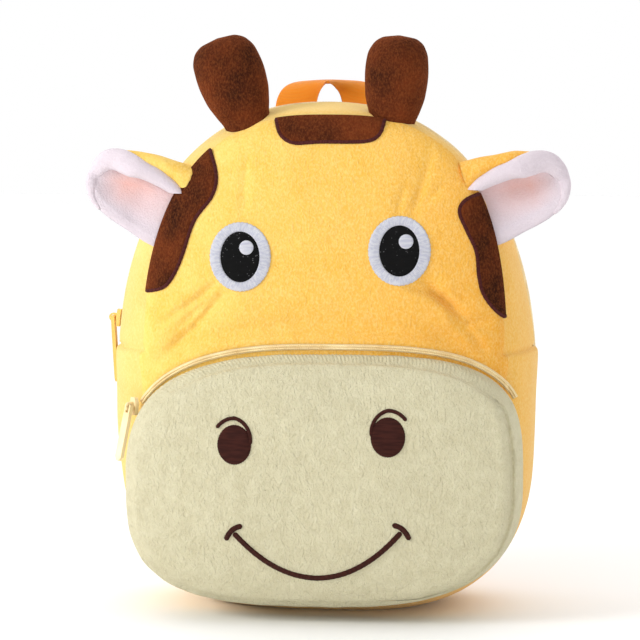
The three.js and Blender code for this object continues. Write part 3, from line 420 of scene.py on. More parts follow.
def surface(name, points, material, wrap=False, flip=False, **more):
    """A piece from a grid of points, rows by columns by 3."""
    quads = grid_quads(*points.shape[:2], wrap)
    if flip:
        quads = quads[:, ::-1]
    return build(name, points.reshape(-1, 3), quads.tolist(), material, **more)


def thick_sheet(name, front, back, material, uv, flip=False, **more):
    """A closed piece between two matching grids of points."""
    n, m = front.shape[:2]
    quads = grid_quads(n, m)
    if flip:
        quads = quads[:, ::-1]
    faces = [*quads.tolist(), *(quads[:, ::-1] + n * m).tolist()]
    place = np.arange(n * m).reshape(n, m)
    for edge in (place[:, 0], place[:, -1], place[0], place[-1]):
        faces += [[p, q, q + n * m, p + n * m] for p, q in zip(edge[:-1].tolist(), edge[1:].tolist())]
    points = np.vstack([front.reshape(-1, 3), back.reshape(-1, 3)])
    return build(name, points, faces, material, uv=np.vstack([uv, uv]), **more)


def tube(name, rings, material, uv=None, **more):
    """A closed body from a row of closed rings, its two ends filled."""
    rows, columns = rings.shape[:2]
    points = np.vstack([rings.reshape(-1, 3), rings[0].mean(0), rings[-1].mean(0)])
    faces = grid_quads(rows, columns, True)[:, ::-1].tolist()
    first, last = rows * columns, rows * columns + 1
    for c in range(columns):
        n = (c + 1) % columns
        faces.append([first, c, n])
        faces.append([last, (rows - 1) * columns + n, (rows - 1) * columns + c])
    if uv is not None:
        uv = np.vstack([uv, [0, 0], [0, 0]])
    return build(name, points, faces, material, uv=uv, **more)


# Materials

# Scales of the plush's fibres and clumps, and of the fuzz on threads and webbing
FIBRES, CLUMPS = 1150, 420
STRANDS, FUZZ = 1400, 1600

# The height of the threads' relief, in metres
THREAD_DEPTH = 0.0003


class Nodes:
    """A small helper that adds nodes to a material or a world, and joins them."""

    def __init__(self, owner):
        self.owner = owner
        owner.use_nodes = True
        self.tree = owner.node_tree
        coords = self.add("TexCoord").outputs
        self.place, self.thread, self.direction = coords["Object"], coords["UV"], coords["Generated"]

    def fill(self, node, inputs):
        """Link each socket to what feeds it, or set its value."""
        for key, value in inputs.items():
            if isinstance(value, bpy.types.NodeSocket):
                self.tree.links.new(value, node.inputs[key])
            else:
                node.inputs[key].default_value = value

    def add(self, kind, inputs=None, **values):
        node = self.tree.nodes.new("ShaderNode" + kind)
        for key, value in values.items():
            setattr(node, key, value)
        self.fill(node, inputs or {})
        return node

    def scaled(self, vector, scale):
        return self.add("Mapping", {"Vector": vector, "Scale": scale}).outputs["Vector"]

    def axes(self, vector):
        return self.add("SeparateXYZ", {"Vector": vector}).outputs

    def noise(self, scale, detail=2.0, roughness=0.5, stretch=None, source=None, distortion=0.0):
        vector = source or self.place
        if stretch:
            vector = self.scaled(vector, stretch)
        values = {"Scale": scale, "Detail": detail, "Roughness": roughness, "Distortion": distortion}
        return self.add("TexNoise", {"Vector": vector, **values}).outputs["Fac"]

    def wave(self, vector, direction, distortion, detail=2.0):
        """Even waves, one to each unit of the vector."""
        values = {"Vector": vector, "Scale": 0.5, "Distortion": distortion, "Detail": detail}
        kind = {"wave_type": "BANDS", "bands_direction": direction, "wave_profile": "SIN"}
        return self.add("TexWave", values, **kind).outputs["Fac"]

    def ramp(self, value, stops):
        node = self.add("ValToRGB", {"Fac": value})
        elements = node.color_ramp.elements
        for i, (at, colour) in enumerate(stops):
            element = elements[i] if i < 2 else elements.new(at)
            element.position = at
            element.color = (*colour, 1)
        return node.outputs["Color"]

    def rise(self, value, low, high):
        """From 0 to 1 between two values."""
        return self.ramp(value, [(low, (0, 0, 0)), (high, (1, 1, 1))])

    def fall(self, value, low, high):
        """From 1 to 0 between two values."""
        return self.ramp(value, [(low, (1, 1, 1)), (high, (0, 0, 0))])

    def mix(self, share, first, second):
        first, second = ((*value, 1) if isinstance(value, tuple) else value for value in (first, second))
        values = {"Factor": share, "A": first, "B": second}
        return self.add("Mix", values, data_type="RGBA").outputs["Result"]

    def times(self, a, b):
        return self.add("Math", {0: a, 1: b}, operation="MULTIPLY").outputs["Value"]

    def plus(self, a, b):
        return self.add("Math", {0: a, 1: b}, operation="ADD").outputs["Value"]

    def bump(self, height, distance, strength, below=None):
        values = {"Height": height, "Distance": distance, "Strength": strength}
        if below:
            values["Normal"] = below
        return self.add("Bump", values).outputs["Normal"]

    def finish(self, colour, roughness, specular, normal=None, sheen=0.0, spread=0.4, tint=(1, 1, 1)):
        values = {"Base Color": colour, "Roughness": roughness, "Specular IOR Level": specular}
        values.update({"Sheen Weight": sheen, "Sheen Roughness": spread, "Sheen Tint": (*tint, 1)})
        if normal:
            values["Normal"] = normal
        self.fill(self.tree.nodes["Principled BSDF"], values)
        return self.owner


def srgb(r, g, b):
    def linear(value):
        value /= 255
        return value / 12.92 if value <= 0.04045 else ((value + 0.055) / 1.055) ** 2.4

    return tuple(linear(value) for value in (r, g, b))


def plush(name, dark, middle, light, pile, sheen, tint, contrast, patch=34, painted_shade_colour=None):
    """Short-pile plush: the nap lies in soft patches; over its grain the fibre tips get a painted highlight
    and the hollows painted shade.
    """
    n = Nodes(bpy.data.materials.new(name))
    patches = n.noise(patch, 3, 0.55)
    fibres = n.noise(FIBRES, 3, 0.62, stretch=(1, 1, 0.62))
    clumps = n.noise(CLUMPS, 2.5, 0.6, stretch=(1, 1, 0.7), distortion=0.6)
    colour = n.ramp(patches, [(0.36, dark), (0.64, middle)])
    if painted_shade_colour:
        # Painted shade: the colour turns a deeper orange towards the right side and the foot of the cloth,
        # away from the light
        place = n.axes(n.place)
        painted_shade_amount = n.plus(n.times(place["X"], 5.4), n.times(place["Z"], -2.2))
        painted_shade_amount = n.plus(n.plus(painted_shade_amount, n.times(patches, 0.5)), 0.55)
        colour = n.mix(n.rise(painted_shade_amount, 0.0, 1.0), colour, painted_shade_colour)
    # Partly the plush's own grain, partly painted light: painted highlight on the fibre tips, painted shade
    # in the hollows between the clumps
    colour = n.mix(n.times(n.rise(fibres, 0.42, 0.68), 0.42 * contrast), colour, light)
    colour = n.mix(n.times(n.fall(clumps, 0.34, 0.52), 0.2 * contrast), colour, dark)
    normal = n.bump(fibres, 0.0006 * pile, 0.75, n.bump(clumps, 0.0011 * pile, 0.6))
    return n.finish(colour, 0.92, 0.12, normal, sheen, 0.45, tint)


def ear_plush(name, white, shade_pink):
    """The ears' plush lining, with pink painted shade in the hollow below the roll along its upper edge."""
    n = Nodes(bpy.data.materials.new(name))
    place = n.axes(n.thread)
    # Painted shade: a pink mask across and along the ear, below the roll that shades the lining
    upper = n.ramp(place["X"], [(0.12, (0, 0, 0)), (0.5, (1, 1, 1)), (0.72, (0.5, 0.5, 0.5))])
    outer = n.ramp(place["Y"], [(0.0, (0.4, 0.4, 0.4)), (0.6, (1, 1, 1)), (0.93, (0, 0, 0))])
    nap = n.noise(60, 3)
    painted_cavity_shade = n.times(n.times(upper, outer), n.plus(n.times(nap, 0.6), 0.6))
    fibres = n.noise(FIBRES, 3, 0.62)
    colour = n.mix(n.times(fibres, 0.3), n.mix(painted_cavity_shade, white, shade_pink), (1.0, 1.0, 1.0))
    normal = n.bump(fibres, 0.0006, 0.8, n.bump(nap, 0.001, 0.5))
    return n.finish(colour, 0.92, 0.12, normal, 0.25, 0.45)


def threads(name, dark, light, pitch, sheen, painted_glints=0.0):
    """Satin stitching: fine parallel threads along the mesh's own thread direction."""
    n = Nodes(bpy.data.materials.new(name))
    straight = n.scaled(n.thread, (1 / pitch, 1, 1))
    wobble = n.add("TexNoise", {"Vector": straight, "Scale": 0.9, "Detail": 2}).outputs["Color"]
    values = {"Factor": 0.12, "A": straight, "B": wobble}
    wave = n.wave(n.add("Mix", values, data_type="VECTOR").outputs["Result"], "X", 0.5, 1)
    strand = n.noise(STRANDS, 2, 0.6)
    colour = n.mix(n.times(strand, 0.2), n.ramp(wave, [(0.1, dark), (0.6, light)]), dark)
    bundles = n.noise(1.0, 1, 0.5, stretch=(0.85, 0.12, 1), source=n.thread)
    colour = n.mix(n.times(n.fall(bundles, 0.38, 0.6), 0.6), colour, dark)
    # Painted highlight: rare grey glints of sheen spotted over the dark thread
    if painted_glints:
        glints = n.add("TexVoronoi", {"Vector": n.place, "Scale": 780}, feature="F1")
        spots = n.fall(glints.outputs["Distance"], 0.1, 0.26)
        rare = n.rise(n.noise(420, 1), 0.5, 0.62)
        colour = n.mix(n.times(n.times(spots, rare), painted_glints), colour, (0.5, 0.5, 0.52))
    normal = n.bump(wave, THREAD_DEPTH, 0.8, n.bump(strand, 0.0002, 0.5))
    return n.finish(colour, 0.65, 0.15, normal, sheen)


def weave(name, dark, light, pitch, rib, depth):
    """Woven tape or webbing: small picks in rows, along the mesh's own directions."""
    n = Nodes(bpy.data.materials.new(name))
    thread = n.scaled(n.thread, (1 / pitch, 1 / rib, 1))
    picks = n.times(n.wave(thread, "X", 0.4), n.wave(thread, "Y", 0.4))
    height = n.plus(picks, n.times(n.noise(FUZZ, 2, 0.6), 0.4))
    colour = n.ramp(picks, [(0.0, dark), (0.6, light)])
    colour = n.mix(n.times(n.noise(60, 2), 0.3), colour, dark)
    return n.finish(colour, 0.7, 0.3, n.bump(height, depth, 0.9), 0.2)


def moulded(name, dark, light, roughness=0.42):
    """Satin moulded plastic, a little uneven and rubbed."""
    n = Nodes(bpy.data.materials.new(name))
    flow = n.noise(90, 3, 0.5)
    colour = n.ramp(flow, [(0.3, dark), (0.7, light)])
    rubbed = n.plus(n.times(flow, 0.2), roughness - 0.1)
    return n.finish(colour, rubbed, 0.45, n.bump(n.noise(900, 2, 0.5), 0.00006, 0.5))


YELLOW = plush(
    "yellow_plush", srgb(238, 192, 86), srgb(248, 209, 110), srgb(255, 232, 160), pile=0.9, sheen=0.25,
    tint=srgb(255, 236, 190), contrast=0.9, patch=60, painted_shade_colour=srgb(236, 164, 54),
)
# The same yellow plush on the side bands, painted paler as a painted sheen for their grazing angle, besides
# a stronger real sheen
YELLOW_PAINTED_SHEEN = plush(
    "yellow_plush_painted_sheen", srgb(231, 194, 106), srgb(239, 204, 118), srgb(252, 229, 164), pile=0.7, sheen=0.4,
    tint=srgb(255, 240, 205), contrast=0.8, painted_shade_colour=srgb(237, 181, 84),
)
CREAM = plush(
    "cream_plush", srgb(203, 195, 161), srgb(211, 204, 171), srgb(235, 230, 208), pile=1.9, sheen=0.2,
    tint=srgb(250, 246, 225), contrast=0.6, patch=160,
)
BROWN = plush(
    "brown_plush", srgb(40, 12, 4), srgb(102, 44, 16), srgb(166, 94, 46), pile=1.3, sheen=0.3,
    tint=srgb(222, 122, 56), contrast=0.55, patch=30,
)
LINING = ear_plush("ear_lining", srgb(211, 196, 205), srgb(226, 156, 138))
WHITE_THREAD = threads("white_thread", srgb(200, 202, 222), srgb(255, 255, 255), 0.5, 0.3)
BLACK_THREAD = threads("black_thread", srgb(4, 4, 5), srgb(16, 16, 18), 0.4, 0.01, painted_glints=0.4)
BROWN_THREAD = threads("brown_thread", srgb(46, 16, 12), srgb(90, 42, 32), 0.45, 0.02)
BORDER_THREAD = threads("border_thread", srgb(62, 18, 18), srgb(112, 52, 48), 0.4, 0.02)
ZIP_TAPE = weave("zip_tape", srgb(238, 212, 158), srgb(252, 238, 200), 0.6, 0.5, 0.0002)
ZIP_COIL = moulded("zip_coil", srgb(230, 200, 142), srgb(250, 232, 184), 0.4)
WEBBING_ORANGE = weave("orange_webbing", srgb(252, 140, 14), srgb(255, 176, 52), 1.3, 0.8, 0.0004)
PLASTIC = moulded("cream_plastic", srgb(236, 212, 158), srgb(248, 230, 190))
YELLOW_PLASTIC = moulded("yellow_plastic", srgb(246, 196, 96), srgb(252, 214, 126))

# The bag body's pieces


def groove(distance, pull=SEAM_PULL, spread=SEAM_SPREAD):
    """How far a surface is pulled in at this distance from a seam."""
    return pull * np.exp(-((distance / spread) ** 2))


def panel_places(outline, rim_of, columns, rows, power):
    """Rings of places over a panel, flat, with their shares of the way out, and with the rim drawn in to
    meet the band sewn to it."""
    angles = full_turn(columns)
    a, s = np.meshgrid(angles, 1 - (1 - np.linspace(0, 1, rows)) ** power)
    x, z = outline.place(a, s)
    seam_x, seam_z = outline.place(angles)
    rim = rim_of(angles)
    reach = groove((1 - s) * outline.half_width, 1.0, SEAM_SPREAD * 1.2)
    drawn_x = x + (rim[:, 0] - seam_x) * reach
    drawn_z = np.maximum(z + (rim[:, 2] - seam_z) * reach, 0)
    return x, z, s, drawn_x, drawn_z


def face_panel():
    x, z, _, drawn_x, drawn_z = panel_places(
        FRONT_SEAM, lambda angles: gusset_points(angles, [FRONT_Y])[:, 0], 640, 120, 1.4
    )
    points = join(drawn_x, face_y(x, z), drawn_z)
    surface("face_plush", points, YELLOW, True, node="face_panel")


def gusset_points(angles, depths):
    """The side bands' surface: a row for each angle, with a place for each depth."""
    a, y = np.meshgrid(angles, depths, indexing="ij")
    depth = (y - FRONT_Y) / BAG_DEPTH
    front, back, full = (np.stack(outline.place(a), -1) for outline in (FRONT_SEAM, BACK_SEAM, FULLEST))
    seam = np.where((depth < 0.5)[..., None], front, back)
    place = seam + (full - seam) * cubic(depth, SWELL_DEPTHS, SWELL)[..., None]
    raw = join(place[..., 0], y, place[..., 1])
    pull = groove(y - FRONT_Y) + groove(BACK_Y - y)
    above = place[..., 1] - SIDE_SEAM_HEIGHT
    beside_zip = groove((np.abs(y) - ZIP_WIDTH / 2) * 1.2) * 0.8
    pull = pull + np.where(above > 0, beside_zip, 0) + hump(above, (SIDE_SEAM_PULL, 0, SIDE_SEAM_SPREAD))
    pull = pull - smoothstep(-above / 2) * hump(above, (SIDE_SEAM_PULL, 0, SIDE_BULGE_REACH))
    tip = np.exp(-((y / TIP_HALF_WIDTH) ** 4) - ((place[..., 1] - TIP_HEIGHT) / TIP_HALF_HEIGHT) ** 4)
    pull = pull + TIP_PRESS * np.where(place[..., 0] < 0, tip, 0)
    to_seam = np.minimum(y - FRONT_Y, BACK_Y - y)
    pull = pull + uneven(raw * [1, 0.35, 1], "gusset_pucker") * np.exp(-((to_seam / 10) ** 2))
    pull = pull + uneven(raw, "gusset")
    place = place - unit(place - [0, WIDEST_HEIGHT]) * pull[..., None]
    return join(place[..., 0], y, np.maximum(place[..., 1], 0))


def side_seam_angle():
    rise = (SIDE_SEAM_HEIGHT - WIDEST_HEIGHT) / (BAG_HEIGHT - WIDEST_HEIGHT)
    return math.atan2(rise, (1 - rise**TOP_SQUARENESS) ** (1 / TOP_SQUARENESS))


SIDE = side_seam_angle()


def bands():
    upper = np.linspace(SIDE, np.pi - SIDE, 600)
    half = ZIP_WIDTH / 2 - ZIP_OVERLAP
    for name, depths in (
        ("upper_band_front", np.linspace(FRONT_Y, -half, 28)),
        ("upper_band_back", np.linspace(half, BACK_Y, 28)),
    ):
        points = gusset_points(upper, depths)
        surface(name + "_plush", points, YELLOW_PAINTED_SHEEN, node=name)
    lower = np.linspace(np.pi - SIDE, 2 * np.pi + SIDE, 640)
    points = gusset_points(lower, np.linspace(FRONT_Y, BACK_Y, 46))
    surface("lower_band_plush", points, YELLOW_PAINTED_SHEEN, node="lower_band")


def back_panel():
    x, z, s, drawn_x, drawn_z = panel_places(
        BACK_SEAM, lambda angles: gusset_points(angles, [BACK_Y])[:, 0], 560, 42, 1.5
    )
    y = BACK_Y + BACK_CROWN * crown((s - 0.6) / 0.4)
    y = y + uneven(join(x, 0, z), "back") * (1 - s**6)
    points = join(drawn_x, y, drawn_z)
    surface("back_plush", points, YELLOW, True, flip=True, node="back_panel")


# The muzzle pocket's pieces, and both zips


def muzzle_row(angles, t=0):
    """One line round the muzzle's side band, from its front seam (0) to where it meets the bag (1)."""
    rear_y = FRONT_Y + MUZZLE_TUCK
    x, z = muzzle_outline(0).place(angles)
    meets = np.where(FRONT_SEAM.share(x, z) < 1, face_y(x, z), rear_y)
    y = MUZZLE_FRONT_Y + (meets - MUZZLE_FRONT_Y) * t
    back = y - MUZZLE_FRONT_Y
    depth = (rear_y - y) / (rear_y - MUZZLE_FRONT_Y)
    at_rim = 1 - smoothstep(seam_inset(angles) / 1.6)
    pull = groove(back, MUZZLE_PULL) * at_rim + 0.6 * groove(meets - y)
    raw = join(x, y, z)
    pull = pull + uneven(raw * [1, 0.4, 1], "muzzle_pucker") * np.exp(-((back / 8) ** 2))
    # The plush lies in fine ribs where it is folded under the zip
    ribs = smoothstep((z - FOLD_HEIGHT) / 25) * np.sin(2 * np.pi * (x * 0.9 + y * 0.5) / RIB_PITCH)
    ribs = RIB_DEPTH * ribs * smoothstep(back / 2)
    place = np.stack(muzzle_outline(depth, -pull).place(angles), -1)
    sag = UNDERSIDE_SAG * np.sin(np.pi * np.clip(depth, 0, 1)) * smoothstep((40 - place[:, 1]) / 40)
    place = place + unit(place - [MUZZLE_CENTRE_X, MUZZLE_WIDEST_HEIGHT]) * ribs[:, None]
    return join(place[:, 0], y, np.maximum(place[:, 1] - sag, 0))


def muzzle_panel():
    x, z, _, drawn_x, drawn_z = panel_places(MUZZLE_SEAM, muzzle_row, 320, 100, 1.7)
    points = join(drawn_x, muzzle_y(x, z), drawn_z)
    surface("muzzle_plush", points, CREAM, True, node="muzzle_panel")


def muzzle_band():
    rows = [muzzle_row(full_turn(2400), t) for t in 1 - (1 - np.linspace(0, 1, 26)) ** 1.3]
    surface("muzzle_band_plush", np.stack(rows), CREAM, True, node="muzzle_band")


def coil_relief(along, across, half, pitch):
    """Height of a zip's two rows of coil over its tape, from 0 to 1."""
    row = np.clip(1 - ((np.abs(across) / half - 0.5) / 0.42) ** 2, 0, 1) ** 0.5
    tooth = np.abs(np.cos(np.pi * (along / pitch + 0.5 * (across > 0))))
    return row * (0.6 + 0.4 * tooth)


def zip_line(outline, first, last, count):
    """Evenly spaced places along an outline, with the direction out from it and the length so far."""
    angles = np.radians(np.linspace(first, last, 800))
    line, length = even(np.stack(outline.place(angles), -1), count)
    tangent = np.gradient(line, axis=0)
    outward = unit(join(tangent[:, 1], -tangent[:, 0]))
    return line[:, None, :], outward[:, None, :], np.linspace(0, length, count)[:, None]


def zip_piece(name, points, along, across, **more):
    material = ZIP_COIL if name.endswith("coil") else ZIP_TAPE
    surface(name, points, material, uv=pairs(along, across), **more)


def muzzle_zip():
    middle = muzzle_outline(POCKET_ZIP_DEPTH, SEAT_GAP + POCKET_ZIP_WIDTH / 2)
    line, outward, along = zip_line(middle, POCKET_ZIP_FROM, POCKET_ZIP_TO, 1400)
    for name, half, columns in (("tape", POCKET_ZIP_WIDTH / 2, 9), ("coil", POCKET_COIL_HALF, 15)):
        across = np.linspace(-half, half, columns)
        place = line + outward * across[None, :, None]
        x, z = place[..., 0], place[..., 1]
        lift = 1.0 - 0.5 * (np.abs(across) / half) ** 4
        if name == "coil":
            lift = 0.9 + coil_relief(along, across, half, POCKET_COIL_PITCH)
        points = join(x, face_y(x, z) - lift, z)
        zip_piece("muzzle_zip_" + name, points, along, across, flip=True, node="muzzle_zip")


def main_zip():
    side = math.degrees(SIDE)
    line, outward, along = zip_line(FULLEST, side, 180 - side, 2200)
    for name, half, columns in (("tape", ZIP_WIDTH / 2, 9), ("coil", COIL_HALF, 13)):
        across = np.linspace(-half, half, columns)
        lift = np.full((len(line), columns), -ZIP_SINK)
        if name == "coil":
            lift = lift + COIL_HEIGHT * coil_relief(along, across, half, COIL_PITCH)
        place = line + outward * lift[..., None]
        points = join(place[..., 0], across, place[..., 1])
        zip_piece("main_zip_" + name, points, along, across, node="main_zip")


# Spots and embroidery

# The spots' free edges, and the places of what is sewn on, as shares of the face's half width and the bag's
# height
FOREHEAD_SPOT = (
    (-0.245, 1.0), (-0.232, 0.965), (-0.2, 0.935), (-0.125, 0.92), (0.01, 0.922), (0.25, 0.923),
    (0.33, 0.936), (0.36, 0.965), (0.385, 1.0),
)
LEFT_SPOT = (
    (-0.66, 0.98), (-0.59, 0.918), (-0.54, 0.862), (-0.56, 0.82), (-0.66, 0.77), (-0.73, 0.698),
    (-0.79, 0.656), (-0.86, 0.637), (-1.04, 0.628),
)
RIGHT_SPOT = (
    (1.0, 0.84), (0.87, 0.828), (0.78, 0.813), (0.753, 0.79), (0.79, 0.757), (0.843, 0.715),
    (0.858, 0.668), (0.885, 0.632), (0.96, 0.597), (1.04, 0.58),
)


SPOTS = (
    ("spot_forehead", FOREHEAD_SPOT, (0.06, 0.945)),
    ("spot_left", LEFT_SPOT, (-0.75, 0.77)),
    ("spot_right", RIGHT_SPOT, (0.88, 0.73)),
)
EYES = (("left", -0.408, 0.704), ("right", 0.443, 0.717))
NOSTRILS = (("left", -0.412, 0.352, 1), ("right", 0.4, 0.37, -1))
SMILE = (0.028, 0.097)

# A nostril's brow: degrees round it, and how far out as shares of the nostril's half size
BROW_DEGREES = (2, 90, 142)
BROW_REACH = (0.93, 1.33, 1.34)


def spot(node, rows, centre):
    """A plush spot from its free edge to the seam, with a satin-stitched border along the free edge."""
    edge = spline([(x * FACE_HALF, z * BAG_HEIGHT) for x, z in rows], 400)
    edge = edge[FRONT_SEAM.share(edge[:, 0], edge[:, 1]) < SPOT_REACH]
    edge, _ = even(edge, 260)
    # The seam side runs along the front seam from one end of the free edge to the other
    first, last = FRONT_SEAM.angle(*edge[-1]), FRONT_SEAM.angle(*edge[0])
    seam = np.stack(FRONT_SEAM.place(np.linspace(first, last, 200), SPOT_REACH), -1)
    ring = even(np.vstack([edge, seam, edge[:1]]), 241)[0][:-1]
    centre = np.array([centre[0] * FACE_HALF, centre[1] * BAG_HEIGHT])
    place = centre + (ring - centre)[None] * np.linspace(0, 1, 34)[:, None, None]
    x, z = place[..., 0], place[..., 1]
    to_edge = np.min(np.linalg.norm(place[:, :, None, :] - edge[None, None, ::6, :], axis=-1), axis=-1)
    thick = SPOT_EDGE + (SPOT_THICKNESS - SPOT_EDGE) * smoothstep(to_edge / 2.6)
    squeeze = np.minimum(SPOT_REACH / np.maximum(FRONT_SEAM.share(x, z), 0.01), 1)
    x = FACE_CENTRE_X + (x - FACE_CENTRE_X) * squeeze
    z = WIDEST_HEIGHT + (z - WIDEST_HEIGHT) * squeeze
    points = join(x, face_y(x, z) - thick, z)
    points[..., 1] += uneven(points, "spot")
    after = np.roll(ring, -1, axis=0)
    area = np.sum(ring[:, 0] * after[:, 1] - after[:, 0] * ring[:, 1])
    surface(node + "_plush", points, BROWN, True, flip=area < 0, node=node)
    stroke(node + "_plush_border", edge, BORDER_WIDTH, LINE_RISE, BORDER_THREAD, face_y, inward=centre)


def stroke(name, line, width, height, material, over, node=None, inward=None):
    """A raised line of satin stitching that follows a curve over a panel, or runs just inward of it."""
    line, length = even(line, max(24, int(length_along(line)[-1] / 0.5)))
    tangent = unit(np.gradient(line, axis=0))
    side = join(-tangent[:, 1], tangent[:, 0])
    if inward is not None:
        facing = np.sign(np.sum((inward - line) * side, -1))[:, None]
        line = line + side * facing * BORDER_INSET
    across = np.linspace(-1, 1, 9)
    along = np.linspace(0, length, len(line))
    near_end = np.clip(np.minimum(along, length - along) / (width / 2), 0, 1)
    taper = np.sqrt(np.clip(1 - (1 - near_end) ** 2, 0.02, 1))
    ragged = 1 + 0.06 * np.sin(along * 7.3) * np.sin(along * 2.9)
    half = width / 2 * taper * ragged
    place = line[:, None, :] + side[:, None, :] * (across[None, :] * half[:, None])[..., None]
    x, z = place[..., 0], place[..., 1]
    lift = THREAD_LIFT + height * np.sqrt(np.clip(1 - across**2, 0, 1)) * taper[:, None] ** 0.5
    points = join(x, over(x, z) - lift, z)
    uv = pairs(along[:, None], across * width / 2)
    surface(name, points, material, uv=uv, node=node)


def disc(name, centre, size, height, material, over, inner=(0, 0), lift=THREAD_LIFT):
    """An embroidered oval, or the ring round an inner oval, slightly crowned."""
    a, s = np.meshgrid(full_turn(160), np.linspace(0, 1, 22))
    ragged = 1 + 0.008 * np.sin(a * 43) + 0.006 * np.sin(a * 71 + 1)
    outer_x, outer_z = size[0] / 2 * np.cos(a), size[1] / 2 * np.sin(a)
    inner_x, inner_z = inner[0] / 2 * np.cos(a), inner[1] / 2 * np.sin(a)
    x = centre[0] + inner_x + (outer_x * ragged - inner_x) * s
    z = centre[1] + inner_z + (outer_z * ragged - inner_z) * s
    ring = inner[0] > 0
    edge = np.abs(2 * s - 1) if ring else s
    points = join(x, over(x, z) - lift - height * np.sqrt(np.clip(1 - edge**5, 0, 1)), z)
    mean = (size[0] + size[1]) / 4
    uv = pairs(a * mean, s * mean) if ring else pairs(z, x)
    surface(name + "_thread", points, material, True, uv=uv, node=name)


def eyes():
    white, pupil, glint = (EYE_WIDTH, EYE_HEIGHT), (PUPIL_WIDTH, PUPIL_HEIGHT), (GLINT_WIDTH, GLINT_WIDTH)
    under = (PUPIL_WIDTH - 1, PUPIL_HEIGHT - 1)
    for side, share_x, share_z in EYES:
        x, z = share_x * FACE_HALF, share_z * BAG_HEIGHT
        disc(f"eye_white_{side}", (x, z), white, WHITE_RISE, WHITE_THREAD, face_y, under)
        disc(f"eye_pupil_{side}", (x, z), pupil, PUPIL_RISE, BLACK_THREAD, face_y)
        at = (x + PUPIL_WIDTH * 0.16, z + PUPIL_HEIGHT * 0.18)
        disc(f"eye_glint_{side}", at, glint, WHITE_RISE, WHITE_THREAD, face_y, lift=GLINT_LIFT)


def nostrils():
    size = (NOSTRIL_WIDTH, NOSTRIL_HEIGHT)
    for side, share_x, share_z, turn in NOSTRILS:
        x, z = share_x * FACE_HALF, share_z * BAG_HEIGHT
        disc(f"nostril_{side}", (x, z), size, NOSTRIL_RISE, BROWN_THREAD, muzzle_y)
        degrees = np.linspace(BROW_DEGREES[0], BROW_DEGREES[-1], 60)
        a = np.radians(degrees)
        out = np.interp(degrees, BROW_DEGREES, BROW_REACH) / 2
        brow_x = x + turn * NOSTRIL_WIDTH * out * np.cos(a)
        brow = join(brow_x, z + NOSTRIL_HEIGHT * out * np.sin(a))
        stroke(f"nostril_brow_{side}", brow, BROW_WIDTH, BROW_RISE, BROWN_THREAD, muzzle_y)


def smile():
    x, z = SMILE[0] * FACE_HALF, SMILE[1] * BAG_HEIGHT
    half = SMILE_WIDTH / 2
    share = np.linspace(-1, 1, 200)
    rise = SMILE_DROP * np.abs(share) ** 2.1 + SMILE_LIFT * np.maximum(share, 0)
    line = join(x + half * share, z + rise)
    stroke("smile_thread", line, STITCH_WIDTH, LINE_RISE, BROWN_THREAD, muzzle_y, "smile")
    for side, sign in (("left", -1), ("right", 1)):
        end = np.array([x + sign * half, z + SMILE_DROP + SMILE_LIFT * (sign > 0)])
        a, b, c = end + [-sign * 4.5, 3.5], end + [sign * 1.5, 3], end + [sign * 4, -4]
        t = np.linspace(0, 1, 40)[:, None]
        tick = a * (1 - t) ** 2 + 2 * b * t * (1 - t) + c * t**2
        stroke(f"smile_tick_{side}", tick, STITCH_WIDTH, TICK_RISE, BROWN_THREAD, muzzle_y)


# The horns' and ears' pieces

BACKWARD = np.array([0, 1, 0])

# Each horn and ear: its side, its place as shares of the face's half width and the bag's height, its lean
# in degrees, for a horn the share of its full width, and the seed of its unevenness
HORNS = (("left", -0.395, 0.962, -20, 1, 61), ("right", 0.392, 0.957, 4, 0.92, 62))
EARS = (("left", -0.804, 0.797, 23, 71), ("right", 0.87, 0.804, 18, 72))

# A horn's sections: how far up each is, and its width and thickness, as shares of the horn's own
HORN_SECTIONS = (
    (-0.3, 0.6, 0.6), (0.02, 0.69, 0.7), (0.15, 0.81, 0.86), (0.34, 0.95, 0.98), (0.56, 1, 1),
    (0.76, 0.96, 0.94), (0.89, 0.82, 0.77), (0.97, 0.55, 0.5), (1, 0.05, 0.05),
)


def horn(side, share_x, share_z, lean, scale, seed):
    foot = np.array([share_x * FACE_HALF, FRONT_Y + HORN_THICKNESS * 0.3, share_z * BAG_HEIGHT])
    lean = math.radians(lean)
    up = np.array([math.sin(lean), 0, math.cos(lean)])
    across = np.array([up[2], 0, -up[0]])
    along = np.sin(np.linspace(-0.14, np.pi / 2, 64))
    places, widths, depths = zip(*HORN_SECTIONS)
    width = cubic(along, places, widths) * HORN_WIDTH / 2 * scale
    thick = cubic(along, places, depths) * HORN_THICKNESS / 2
    a = full_turn(96)
    flat = np.abs(np.cos(a)) ** 0.9 * np.sign(np.cos(a))
    centre = foot + up * (along * HORN_LENGTH)[:, None, None]
    outward = across * (flat * width[:, None])[..., None]
    outward = outward + BACKWARD * (np.sin(a) * thick[:, None])[..., None]
    rings = centre + outward
    seam = 0.5 * np.exp(-((np.sin(a) / 0.12) ** 2))
    soft = 0.3 * lumps(rings, 30, seed) - seam
    reach = np.maximum(np.linalg.norm(outward, axis=-1, keepdims=True), 0.5)
    rings = rings + outward / reach * soft[..., None]
    piece = tube(f"horn_{side}_plush", rings, BROWN, node=f"horn_{side}")


